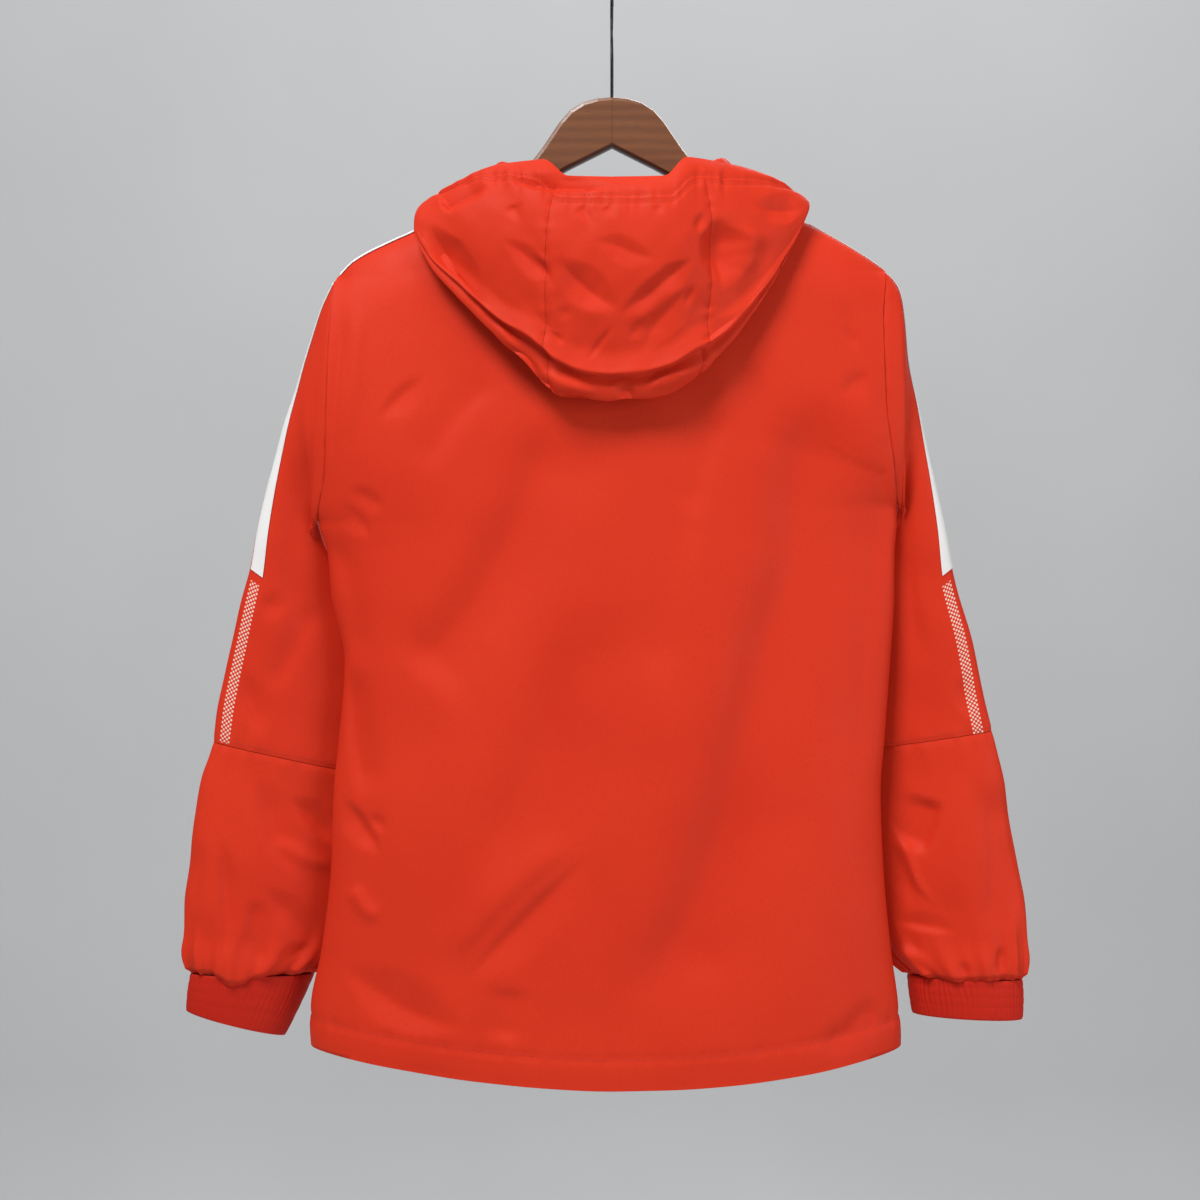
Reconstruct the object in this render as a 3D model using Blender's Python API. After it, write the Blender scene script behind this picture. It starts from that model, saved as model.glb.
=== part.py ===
"""Hooded windbreaker hanging on a wooden hanger, its back towards -Y and its front towards +Y.

The origin is the inner top of the hanger's hook, +Z is up. All sizes below are in millimetres and become
metres in one place, where a mesh is made. Each panel is a grid of points on its outer face, worked out
from the tables, and a wall of cloth is built inwards from it.
"""

import math

import bmesh
import bpy
import numpy as np

MM = 0.001

# ---------------------------------------------------------------- cloth and seams
CLOTH = 1.6  # wall of a panel
HEM_CLOTH = 2.2  # wall where the cloth is turned back on itself
TAPE_CLOTH = 1.0
SEAM = 0.3  # gap between two sewn pieces

RED = (0.64, 0.045, 0.022)
RED_DARK = (0.52, 0.03, 0.018)
WHITE = (0.86, 0.85, 0.83)
WOOD = (0.20, 0.085, 0.04)
STEEL = (0.03, 0.03, 0.035)
METAL = (0.55, 0.55, 0.56)

# ---------------------------------------------------------------- body
# The body at each height: its left and right edges and how deep the back and the front stand off the middle.
BODY_COLUMNS = ("z", "left", "right", "back", "front")
BODY = (
    (-236, -225, 224.0, 23, 23),
    (-280, -229, 220.0, 25, 25),
    (-340, -231, 221.5, 28, 29),
    (-400, -233, 229.5, 31, 32),
    (-441, -240, 233.5, 33, 34),
    (-466, -233, 231.6, 34, 35),
    (-500, -230, 231.3, 35, 36),
    (-555, -219, 228.0, 36, 37),
    (-620, -224, 223.2, 37, 38),
    (-660, -228, 220.2, 38, 39),
    (-720, -230, 222.3, 39, 40),
    (-790, -238, 228.6, 40, 42),
    (-839, -247, 235.0, 41, 43),
    (-872, -246, 236.5, 42, 44),
)
UNDERARM = {"left": -441, "right": -428}  # height of the armhole's lowest point
SHOULDER_TIP = {"left": -241, "right": -235.5}
ARMHOLE_DEPTH = 23  # how far the armhole's edge stands off the middle at its widest

# The ridge where the back and front panels meet on top of the shoulders.
RIDGE_COLUMNS = ("x", "z")
RIDGE = (
    (-226, -241),
    (-210.7, -226),
    (-178.8, -209.5),
    (-163, -202.5),
    (-120, -177),
    (-85, -153),
    (0, -98),
    (85, -150),
    (120, -172),
    (163, -197.5),
    (178.8, -206),
    (195.2, -215.5),
    (211.6, -226),
    (225, -235.5),
)
RIDGE_ROUND = 60  # height over which the shoulder rounds off
SIDE_POWER = 2.0  # how square the body's section is at the waist, and how much squarer at the shoulders
SHOULDER_POWER = 7.0
NECK_HALF = 85
NAPE_DROP = 32  # the neckline's fall from the shoulder to the nape
THROAT_DROP = 90  # and to the throat

# The lower edge: its height at the side seams, its extra fall in the middle, and how fast it falls on each side.
HEM = {
    "back": {"side": -869, "fall": 29, "left": 1.7, "right": 2.2},
    "front": {"side": -869, "fall": 16, "left": 2.2, "right": 2.2},
}

# Large soft folds in the back, as troughs from one point to another; a negative depth is a ridge.
FOLD_COLUMNS = ("x_top", "z_top", "x_low", "z_low", "bow", "width", "depth")
BACK_FOLDS = (
    (174, -343, 14, -841, 26, 34, 7.0),
    (-60, -353, -180, -560, 22, 24, 5.0),
    (-27, -480, -66, -690, 8, 30, 3.0),
    (-110, -350, -36, -590, 0, 40, -3.0),
    (-25, -708, -135, -818, -6, 16, 3.0),
    (-232, -795, -118, -848, -16, 20, 6.0),
    (90, -700, 150, -860, -10, 40, -4.0),
    (212, -340, 205, -610, 0, 14, 3.0),
    (76, -410, 40, -510, 0, 26, 2.0),
)
FRONT_FOLDS = (
    (-150, -330, -60, -560, 14, 30, 4.5),
    (140, -320, 70, -590, -12, 32, 5.0),
    (-120, -620, -150, -850, 8, 34, 5.0),
    (95, -640, 150, -860, -10, 30, 4.0),
)

# ---------------------------------------------------------------- sleeves
# Each ring of a sleeve: its outer end, its inner end towards the body, and its depth before and behind their line.
SLEEVE_COLUMNS = ("outer_x", "outer_y", "outer_z", "inner_x", "inner_y", "inner_z", "before", "behind")
SLEEVE_LEFT = (
    (-234.0, 0, -256, -247, 7, -447, 25, 22),
    (-252.8, 0, -311, -244, 19, -461, 28, 20),
    (-263.5, 1, -346, -235, 32, -479, 30, 17),
    (-276.3, 2, -388, -217, 44, -501, 31, 16),
    (-288.6, 3, -436, -197, 52, -530, 31, 16),
    (-297.6, 4, -478, -185, 57, -558, 31, 17),
    (-311.5, 5, -536, -177, 59, -600, 30, 18),
    (-323.0, 6, -587, -177, 59, -634, 29, 19),
    (-328.5, 7, -621, -181, 58, -656, 28, 20),
    (-338.0, 8, -652, -188, 57, -684, 28, 22),
    (-343.7, 9, -685, -196, 55, -712, 28, 24),
    (-348.5, 10, -722, -204, 53, -742, 29, 26),
    (-352.5, 11, -757, -212, 50, -770, 30, 27),
    (-353.5, 12, -789, -226, 45, -796, 28, 26),
    (-347.6, 13, -812, -248, 36, -815, 22, 21),
    (-351.6, 14, -843, -272, 31, -866, 18, 18),
)
SLEEVE_RIGHT = (
    (235.5, 0, -252, 240, 7, -434, 25, 22),
    (242.6, 0, -307, 238.5, 19, -449, 28, 20),
    (249.4, 1, -340, 230, 32, -469, 30, 17),
    (260.4, 2, -388, 214, 44, -494, 31, 16),
    (271.0, 3, -436, 195, 52, -525, 31, 16),
    (279.0, 4, -478, 184, 57, -554, 31, 17),
    (295.6, 5, -537, 177, 59, -595, 30, 18),
    (306.5, 6, -587, 177, 59, -622, 29, 19),
    (313.0, 7, -612, 180, 58, -634, 28, 20),
    (322.0, 8, -652, 188, 57, -668, 28, 22),
    (327.6, 9, -685, 196, 55, -700, 28, 24),
    (334.6, 10, -722, 204, 53, -734, 29, 26),
    (341.0, 11, -757, 212, 50, -766, 30, 27),
    (343.0, 12, -793, 226, 45, -796, 28, 26),
    (338.6, 13, -817, 247, 36, -816, 22, 21),
    (339.0, 14, -850, 251, 34, -848, 21, 21),
)
ELBOW_RING = 9  # the ring, counting the armhole as 0, where the upper sleeve ends
CUFF_RING = 15  # and where the cuff starts
SLEEVE_STEPS = 30  # points round a sleeve
SLEEVE_OVER_BODY = 3.0  # least distance that a sleeve keeps from the body's outer face
TURN_FORWARD = 8.0  # how far forward of the side seam a sleeve passes it
TURN_SLOPE = 1.2
UNDERARM_CLEAR = 6.0
CUFF_GATHERS = 10
GATHER_DEPTH = 1.6
CUFF_RIBS = 44
RIB_HEIGHT = 0.8
STRIP_SPAN = {"left": (-36, -8), "right": (-30, 2)}  # degrees round the sleeve from its outer end
STRIP_END_RING = 6
SHOULDER_STRIP = {"from": 161, "to": 222}  # reach of the strip on the shoulder, from the middle

# ---------------------------------------------------------------- hood
# Stations round the neck, from 0 at the nape to 1 at the throat: the rim, the lowest or outermost point of the
# hanging bag, how far the cloth puffs out between them, and how much of the lower tuck there is.
HOOD_COLUMNS = ("turn", "rim_x", "rim_y", "rim_z", "low_x", "low_y", "low_z", "puff", "tuck")
HOOD_LEFT = (
    (0.00, -1, -58, -168, -2, -50, -346, 20, 1.0),
    (0.14, -35, -57, -167, -40, -50, -343, 20, 1.0),
    (0.22, -56, -47, -152, -72, -47, -313, 21, 0.9),
    (0.32, -90, -33, -153, -116, -42, -269, 20, 0.5),
    (0.42, -124, -20, -165, -147, -35, -234, 15, 0.2),
    (0.50, -139, -8, -172, -160, -24, -205, 9, 0.0),
    (0.58, -134, 10, -176, -150, 2, -190, 6, 0.0),
    (0.68, -112, 25, -182, -124, 24, -200, 5, 0.0),
    (0.84, -62, 35, -198, -66, 38, -222, 4, 0.0),
    (1.00, -8, 40, -212, -8, 42, -232, 3, 0.0),
)
HOOD_RIGHT = (
    (0.00, -1, -58, -168, -2, -50, -346, 20, 1.0),
    (0.14, 41, -57, -167, 40, -50, -342, 20, 1.0),
    (0.22, 61, -46, -150, 64, -48, -329, 21, 0.9),
    (0.32, 100, -32, -154, 101, -44, -290, 20, 0.5),
    (0.42, 133, -20, -163, 136, -36, -236, 15, 0.2),
    (0.50, 150, -8, -175, 154, -24, -196, 9, 0.0),
    (0.58, 143, 10, -178, 150, 2, -188, 6, 0.0),
    (0.68, 118, 25, -182, 126, 24, -198, 5, 0.0),
    (0.84, 64, 35, -196, 68, 38, -220, 4, 0.0),
    (1.00, 8, 40, -212, 8, 42, -232, 3, 0.0),
)
# The bag's section from the rim to its lowest point: how far along, and how proud of the puffed line, with the
# upper lobe's lip hanging over the lower one.
TUCK_COLUMNS = ("along", "proud")
TUCK = (
    (0.84, 1.0),
    (0.90, 6.0),
    (0.935, 8.5),
    (0.945, 6.0),
    (0.925, 3.0),
    (0.94, 1.5),
    (0.972, 4.0),
    (1.0, 1.5),
)
HOOD_SEAMS = {"left": 0.165, "right": 0.235}  # stations of the centre panel's seams
RIM_DEPTH = 22
HOOD_OVER_BODY = 4.5
HOOD_RISE = 5  # the hood stands this far above the neckline before it turns over
HOOD_SIDE_COLUMNS = 14
HOOD_SEAM_TURN = 0.0016  # half of the gap at a seam of the hood, as a part of the way round the neck
THROAT_START = 0.09  # where the hood starts beside the zip, as a part of the neck's half width

# ---------------------------------------------------------------- zip
ZIP_HALF = 4.4  # half of the gap between the fronts
TAPE_REACH = 14
SLIDER = {"z": -262, "width": 8.0, "length": 13, "height": 3.4}
BRIDGE = {"width": 2.0, "half_length": 4.4, "height": 4.0, "bar": 1.3}
PULL = {"width": 7.0, "length": 27, "thickness": 1.6, "eye_half": 1.8, "eye_length": 5.0}

# ---------------------------------------------------------------- hanger
HANGER_COLUMNS = ("x", "top", "bottom")
HANGER = (
    (0, -92.7, -134),
    (12, -93.7, -140),
    (24, -97.2, -146),
    (34.4, -103.7, -151.2),
    (43, -113.5, -156),
    (50, -124, -160),
    (57.5, -135, -164),
    (66, -146, -170),
    (75, -155.5, -178),
    (85, -166, -186),
    (120, -185, -207),
    (163, -209.5, -231),
    (184, -220, -241),
)
HANGER_THICK = 13
HANGER_EDGE = 3.2
HOOK_WIRE = 2.7
HOOK_INSIDE = 20  # inner radius of the bend
HOOK_TIP_DEG = 190
HOOK_BEND_DEG = -50


# ---------------------------------------------------------------- small helpers
def column(table, names, name):
    return np.array([row[names.index(name)] for row in table], float)


def smooth_curve(known, values, at):
    """A smooth curve through the known values, without overshoot."""
    known, values, at = np.asarray(known, float), np.asarray(values, float), np.asarray(at, float)
    if known[0] > known[-1]:
        known, values = known[::-1], values[::-1]
    step = np.diff(known)
    rise = np.diff(values) / step
    slope = np.empty(len(known))
    slope[0], slope[-1] = rise[0], rise[-1]
    both = rise[:-1] * rise[1:]
    mean = 2 * both / np.where(both > 0, rise[:-1] + rise[1:], 1)
    slope[1:-1] = np.where(both > 0, mean, 0)
    at = np.clip(at, known[0], known[-1])
    i = np.clip(np.searchsorted(known, at, side="right") - 1, 0, len(step) - 1)
    s = (at - known[i]) / step[i]
    h = step[i]
    return (
        (1 + 2 * s) * (1 - s) ** 2 * values[i]
        + s * (1 - s) ** 2 * h * slope[i]
        + s * s * (3 - 2 * s) * values[i + 1]
        + s * s * (s - 1) * h * slope[i + 1]
    )


def smooth_step(low, high, at):
    s = np.clip((np.asarray(at, float) - low) / (high - low), 0, 1)
    return s * s * (3 - 2 * s)


def unit(vectors):
    return vectors / np.maximum(np.linalg.norm(vectors, axis=-1, keepdims=True), 1e-9)


# ---------------------------------------------------------------- materials and meshes
def new_material(name, colour, roughness, metallic=0.0):
    material = bpy.data.materials.new(name)
    material.use_nodes = True
    shader = material.node_tree.nodes["Principled BSDF"]
    shader.inputs["Base Color"].default_value = (*colour, 1)
    shader.inputs["Roughness"].default_value = roughness
    shader.inputs["Metallic"].default_value = metallic
    material.diffuse_color = (*colour, 1)
    return material


def new_object(name, points, faces, colour, roughness=0.55, metallic=0.0):
    """A mesh object with its faces turned outwards; points are in millimetres."""
    mesh = bpy.data.meshes.new(name)
    mesh.from_pydata([tuple(p) for p in np.asarray(points) * MM], [], faces)
    work = bmesh.new()
    work.from_mesh(mesh)
    bmesh.ops.remove_doubles(work, verts=work.verts, dist=1e-7)
    if work.calc_volume(signed=True) < 0:
        bmesh.ops.reverse_faces(work, faces=work.faces)
    work.to_mesh(mesh)
    work.free()
    mesh.shade_smooth()
    mesh.set_sharp_from_angle(angle=math.radians(50))
    obj = bpy.data.objects.new(name, mesh)
    obj.data.materials.append(new_material(name, colour, roughness, metallic))
    bpy.context.scene.collection.objects.link(obj)
    return obj


def grid_normals(grid, closed):
    """Unit normals of a grid of points; closed says that its columns run all the way round."""
    if closed:
        across = np.roll(grid, -1, axis=1) - np.roll(grid, 1, axis=1)
    else:
        across = np.gradient(grid, axis=1)
    return unit(np.cross(across, np.gradient(grid, axis=0)))


def wall(name, outer, inner, closed, colour, roughness=0.55):
    """A closed solid between two grids of the same size."""
    rows, columns = outer.shape[:2]
    points = np.concatenate([outer.reshape(-1, 3), inner.reshape(-1, 3)])
    under = rows * columns

    def at(i, j):
        return i * columns + j % columns

    faces = []
    spans = columns if closed else columns - 1
    for i in range(rows - 1):
        for j in range(spans):
            a, b, c, d = at(i, j), at(i, j + 1), at(i + 1, j + 1), at(i + 1, j)
            faces += [(a, b, c), (a, c, d), (under + c, under + b, under + a), (under + d, under + c, under + a)]
    for j in range(spans):
        for i, flip in ((0, False), (rows - 1, True)):
            a, b = at(i, j), at(i, j + 1)
            quad = (b, a, under + a, under + b)
            faces.append(quad[::-1] if flip else quad)
    if not closed:
        for i in range(rows - 1):
            for j, flip in ((0, True), (columns - 1, False)):
                a, b = at(i, j), at(i + 1, j)
                quad = (b, a, under + a, under + b)
                faces.append(quad[::-1] if flip else quad)
    return new_object(name, points, faces, colour, roughness)


def outward_normals(grid, outward, closed=False):
    normals = grid_normals(grid, closed)
    middle = normals[grid.shape[0] // 2, grid.shape[1] // 2]
    return normals if np.dot(middle, outward) > 0 else -normals


def panel(name, grid, outward, colour, thick=CLOTH, lift=0.0):
    """A wall of cloth whose outer face is the grid, lifted off it; outward is a point's rough outward side."""
    normals = outward_normals(grid, outward)
    return wall(name, grid + normals * lift, grid + normals * (lift - thick), False, colour)


# ---------------------------------------------------------------- body shape
def ridge_z(x):
    return smooth_curve(column(RIDGE, RIDGE_COLUMNS, "x"), column(RIDGE, RIDGE_COLUMNS, "z"), x)


def edge_x(z, side):
    return smooth_curve(column(BODY, BODY_COLUMNS, "z"), column(BODY, BODY_COLUMNS, side), z)


def armhole_y(z, side):
    """How far the armhole's edge stands off the middle: an ellipse from the underarm to the shoulder tip."""
    low, high = UNDERARM[side], SHOULDER_TIP[side]
    s = np.clip((np.asarray(z, float) - low) / (high - low), 0, 1)
    return ARMHOLE_DEPTH * np.sqrt(np.clip(1 - (2 * s - 1) ** 2, 0, 1))


def fold_depth(folds, x, z):
    """The sum of the troughs at a point of a panel."""
    total = np.zeros(np.broadcast(x, z).shape)
    for row in folds:
        fold = dict(zip(FOLD_COLUMNS, row))
        along_x, along_z = fold["x_low"] - fold["x_top"], fold["z_low"] - fold["z_top"]
        length = math.hypot(along_x, along_z)
        along_x, along_z = along_x / length, along_z / length
        from_x, from_z = x - fold["x_top"], z - fold["z_top"]
        s = (from_x * along_x + from_z * along_z) / length
        inside = np.clip(s, 0, 1)
        aside = from_x * along_z - from_z * along_x - fold["bow"] * 4 * inside * (1 - inside)
        ends = smooth_step(-0.15, 0.2, s) * (1 - smooth_step(0.8, 1.15, s))
        total = total + fold["depth"] * ends * np.exp(-((aside / fold["width"]) ** 2))
    return total


def body_y(x, z, face):
    """The outer face of the body, as a distance from its middle plane, at any point of its outline."""
    x, z = np.asarray(x, float), np.asarray(z, float)
    depth = smooth_curve(column(BODY, BODY_COLUMNS, "z"), column(BODY, BODY_COLUMNS, face), z)
    fall = np.clip((ridge_z(x) - z) / RIDGE_ROUND, 0, 1)
    crown = depth * np.sqrt(np.clip(1 - (1 - fall) ** 2, 0, 1))
    side_x = np.where(x < 0, edge_x(z, "left"), edge_x(z, "right"))
    u = np.clip(np.abs(x / side_x), 0, 1)
    armhole = np.where(x < 0, armhole_y(z, "left"), armhole_y(z, "right"))
    share = u ** (SIDE_POWER + SHOULDER_POWER * smooth_step(UNDERARM["left"] - 20, -300, z))
    flat = np.sqrt(armhole**2 * share + crown**2 * (1 - share))
    folds = fold_depth(BACK_FOLDS if face == "back" else FRONT_FOLDS, x, z)
    soft = smooth_step(0, 0.25, 1 - u) * smooth_step(0, 1, fall)
    return flat - folds * soft


def hem_z(u, face):
    hem = HEM[face]
    power = np.where(u < 0, hem["left"], hem["right"])
    return hem["side"] - hem["fall"] * (1 - np.abs(u) ** power)


def neck_z(x, face):
    drop = NAPE_DROP if face == "back" else THROAT_DROP
    across = np.clip((x / NECK_HALF + 1) / 2, 0, 1)
    side = ridge_z(-NECK_HALF) * (1 - across) + ridge_z(NECK_HALF) * across
    return side - drop * (1 - np.clip(np.abs(x) / NECK_HALF, 0, 1) ** 2.3)


def body_point(u, level, face):
    """A point of a panel: u runs from the left edge, -1, to the right, 1; level from the hem, 0, over the
    underarm, 1, to the shoulder or neckline, 2."""
    side = "left" if u < 0 else "right"
    if level <= 1:
        edge = HEM[face]["side"] + (UNDERARM[side] - HEM[face]["side"]) * level
        x = abs(u) * float(edge_x(edge, side))
        z = float(hem_z(u, face)) * (1 - level) + UNDERARM[side] * level
    else:
        edge = UNDERARM[side] + (SHOULDER_TIP[side] - UNDERARM[side]) * (level - 1)
        x = abs(u) * float(edge_x(edge, side))
        top = float(ridge_z(x)) if abs(x) >= NECK_HALF else float(neck_z(x, face))
        z = UNDERARM[side] * (2 - level) + top * (level - 1)
    y = float(body_y(x, z, face))
    return (x, y if face == "front" else -y, z)


def body_columns(first, last):
    """Values of u between two ends, closer together at the rounded edges, with one on each neck point."""
    neck = NECK_HALF / 225
    outer = [neck + (1 - neck) * math.sin(s * math.pi / 2) for s in np.linspace(0, 1, 8)]
    inner = [neck * s for s in (0.3, 0.62, 0.86, 0.96)]
    half = sorted(inner + outer)
    both = [-u for u in reversed(half)] + [0.0] + half
    return [first] + [u for u in both if first + 1e-3 < u < last - 1e-3] + [last]


def body_levels():
    low = [0, 0.05] + list(np.linspace(0.15, 0.86, 6)) + [0.945, 0.975, 1]
    high = [1 + (1 - math.cos(math.pi * s)) / 2 for s in np.linspace(0, 1, 11)[1:]]
    return low + high


def body_grid(face, first, last):
    return np.array([[body_point(u, level, face) for u in body_columns(first, last)] for level in body_levels()])


def part_at_seams(grid, face):
    """Draws a panel's edges back by half of the seam gap where it meets the other face."""
    away = SEAM / 2 if face == "front" else -SEAM / 2
    grid = grid.copy()
    grid[:, :, 1] += away
    return grid


def body_panel(name, grid, outward, edges):
    """A panel of the body. Its side and shoulder edges are cut square to the seam, and its armholes too."""
    normals = outward_normals(grid, outward)
    levels = np.array(body_levels())
    for column in edges:
        away = math.copysign(1, grid[0, column, 0])
        normals[levels <= 1, column, 1] = 0
        normals[levels > 1, column, 0] = 0
        normals[np.isclose(levels, 1), column] = (away, 0, -1)
    over_ridge = np.abs(grid[-1, :, 0]) >= NECK_HALF - 0.5
    normals[-1, over_ridge, 1] = 0
    normals = unit(normals)
    return wall(name, grid, grid - normals * CLOTH, False, RED)


def build_body():
    back = part_at_seams(body_grid("back", -1, 1), "back")
    body_panel("back", back, (0, -1, 0), (0, -1))
    gap = ZIP_HALF / 225
    fronts = {}
    for side, first, last in (("left", -1, -gap), ("right", gap, 1)):
        grid = part_at_seams(body_grid("front", first, last), "front")
        middle = -1 if side == "left" else 0
        grid[:, middle, 0] = -ZIP_HALF if side == "left" else ZIP_HALF
        fronts[side] = grid
        body_panel(f"front_{side}", grid, (0, 1, 0), (0,) if side == "left" else (-1,))
    return back, fronts


# ---------------------------------------------------------------- sleeves
def sleeve_angles(side):
    """Degrees round a sleeve from its outer end, with columns on the edges of its strip."""
    low, high = STRIP_SPAN[side]
    strip = [low, (low + high) / 2, high]
    rest = np.linspace(high, low + 360, SLEEVE_STEPS - 1)[1:-1]
    return np.radians(strip + list(rest))


def armhole_ring(side, angles):
    """The first ring follows the armhole edges of the back and the front panels."""
    low, high = UNDERARM[side], SHOULDER_TIP[side]
    z = (low + high) / 2 + (high - low) / 2 * np.cos(angles)
    y = armhole_y(z, side) * np.sign(np.sin(angles))
    away = -1 if side == "left" else 1
    return np.stack([edge_x(z, side) + away * 2.2 * SEAM, y, z], axis=1)


def sleeve_ring(row, side, angles):
    ring = dict(zip(SLEEVE_COLUMNS, row))
    outer = np.array([ring["outer_x"], ring["outer_y"], ring["outer_z"]], float)
    inner = np.array([ring["inner_x"], ring["inner_y"], ring["inner_z"]], float)
    centre, reach = (outer + inner) / 2, (outer - inner) / 2
    turn = -1 if side == "left" else 1
    down = unit(np.array([turn * reach[2], 0, -turn * reach[0]]))
    forward = unit(np.cross(down, reach))
    if forward[1] < 0:
        forward = -forward
    depth = np.where(np.sin(angles) > 0, ring["before"], ring["behind"])
    return centre + np.outer(np.cos(angles), reach) + np.outer(np.sin(angles) * depth, forward)


def keep_off_body(ring):
    """Moves the points of a ring that would lie in the body forward, onto its front. The least distance forward
    falls off outside the body's edge and above the underarm, so the sleeve turns forward without a kink."""
    ring = ring.copy()
    for point in ring:
        x, _, z = point
        side = "left" if x < 0 else "right"
        edge = abs(float(edge_x(z, side)))
        past = abs(x) - edge
        above = max(z - UNDERARM[side] + UNDERARM_CLEAR, 0)
        if past > 0:
            least = TURN_FORWARD - past * TURN_SLOPE
        else:
            front = float(body_y(np.sign(x) * abs(x), np.clip(z, -866, -236), "front"))
            least = max(front + SLEEVE_OVER_BODY, TURN_FORWARD)
        point[1] = max(point[1], least - above * TURN_SLOPE)
    return ring


def sleeve_rings(side):
    angles = sleeve_angles(side)
    table = SLEEVE_LEFT if side == "left" else SLEEVE_RIGHT
    rings = [armhole_ring(side, angles)]
    rings += [keep_off_body(sleeve_ring(row, side, angles)) for row in table]
    rings = np.array(rings)
    last = CUFF_RING
    for ring, share in ((last - 2, 0.6), (last - 1, 1.0), (last, 0.9)):
        outwards = unit(rings[ring] - rings[ring].mean(axis=0))
        wave = np.cos(CUFF_GATHERS * angles)[:, None]
        rings[ring] = rings[ring] + outwards * wave * GATHER_DEPTH * share
    return angles, rings


def moved_along(rings, index, distance):
    """The ring a short distance on from one of the rings, for the gap at a seam."""
    on = index + 1 if distance > 0 else index - 1
    return rings[index] + unit(rings[on] - rings[index]) * abs(distance)


def build_sleeve(side):
    angles, rings = sleeve_rings(side)
    upper = rings[: ELBOW_RING + 1].copy()
    upper[-1] = moved_along(rings, ELBOW_RING, -SEAM)
    lower = rings[ELBOW_RING : CUFF_RING + 1].copy()
    lower[0] = moved_along(rings, ELBOW_RING, SEAM / 2)
    lower[-1] = moved_along(rings, CUFF_RING, -SEAM)
    tube(f"sleeve_upper_{side}", upper, True)
    tube(f"sleeve_lower_{side}", lower, False)
    strip = upper[1 : STRIP_END_RING + 1, :3]
    panel(f"sleeve_strip_{side}", strip, outward_of(upper, strip), WHITE, TAPE_CLOTH, lift=SEAM + TAPE_CLOTH)
    build_cuff(side)


def outward_of(rings, patch):
    row = len(patch) // 2
    return patch[row, patch.shape[1] // 2] - rings[1 + row].mean(axis=0)


def tube(name, rings, at_armhole):
    """A tube of cloth. At an armhole its end doesn't reach in past the seam."""
    normals = ring_normals(rings)
    if at_armhole:
        away = np.sign(rings[0, 0, 0])
        normals[0, :, 0] = np.where(normals[0, :, 0] * away > 0, 0, normals[0, :, 0])
        normals[0] = unit(normals[0])
    return wall(name, rings, rings - normals * CLOTH, True, RED)


def ring_normals(rings):
    normals = grid_normals(rings, True)
    middle = len(rings) // 2
    if np.sum(normals[middle] * (rings[middle] - rings[middle].mean(axis=0))) < 0:
        normals = -normals
    return normals


def build_cuff(side):
    """An elastic cuff: fine ribs stand on the outside of a plain inside."""
    angles = np.linspace(0, 2 * math.pi, 2 * CUFF_RIBS, endpoint=False)
    table = SLEEVE_LEFT if side == "left" else SLEEVE_RIGHT
    top = sleeve_ring(table[CUFF_RING - 1], side, angles)
    bottom = sleeve_ring(table[CUFF_RING], side, angles)
    rows = np.array([top + (bottom - top) * s for s in (0.012, 1)])
    normals = ring_normals(rows)
    ribs = np.where(np.arange(len(angles)) % 2 == 0, RIB_HEIGHT, 0)[None, :, None]
    wall(f"cuff_{side}", rows + normals * ribs, rows - normals * HEM_CLOTH, True, RED_DARK)


# ---------------------------------------------------------------- shoulder strips
def build_shoulder_strips(back, fronts):
    """The contrast strip along each shoulder, over the seam on the left and in front of it on the right."""
    for side, sign in (("left", -1), ("right", 1)):
        front = fronts[side]
        rows = {"behind": back[-2], "before": front[-2], "lower": front[-3]}
        low, high = SHOULDER_STRIP["from"], SHOULDER_STRIP["to"]
        places = [low] + sorted(x for x in back[-1, :, 0] * sign if low + 3 < x < high)
        ridge = [on_row(back[-1], sign * x) * (1, 0, 1) for x in places]
        share = [on_row_share(back[-1], sign * x) for x in places]
        before = [at_share(rows["before"], back.shape[1], item, side) for item in share]
        lower = [at_share(rows["lower"], back.shape[1], item, side) for item in share]
        behind = [at_share(rows["behind"], back.shape[1], item, None) for item in share]
        if side == "left":
            grid, outward = np.array([behind, ridge, before]), (0, 0, 1)
        else:
            grid, outward = np.array([[p + (0, SEAM / 2, 0) for p in ridge], before, lower]), (0, 1, 0.5)
        panel(f"shoulder_strip_{side}", grid, outward, WHITE, TAPE_CLOTH, lift=SEAM + TAPE_CLOTH + 0.2)


def on_row(row, x):
    return np.array([np.interp(x, row[:, 0], row[:, axis]) for axis in range(3)])


def on_row_share(row, x):
    """Which column, counted in fractions, a row has at x."""
    return float(np.interp(x, row[:, 0], np.arange(len(row))))


def at_share(row, width, share, side):
    """The point of a row at a fraction of a column of the back, on the back itself or on a front panel."""
    if side == "right":
        share = share - (width - len(row))
    index = np.arange(len(row))
    return np.array([np.interp(share, index, row[:, axis]) for axis in range(3)])


# ---------------------------------------------------------------- hood
def station(turn, name):
    table = HOOD_LEFT if turn < 0 else HOOD_RIGHT
    return float(smooth_curve(column(table, HOOD_COLUMNS, "turn"), column(table, HOOD_COLUMNS, name), abs(turn)))


def neck_point(turn, necks):
    """A point of the panels' neck edge, from -1 at the throat round the left to 1 at the throat."""
    reach = math.sin(math.pi * abs(turn))
    if abs(turn) > 0.5:
        reach = THROAT_START + (1 - THROAT_START) * reach
    edge = necks["back"] if abs(turn) <= 0.5 else necks["left" if turn < 0 else "right"]
    return on_row(edge, math.copysign(NECK_HALF * reach, turn))


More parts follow.
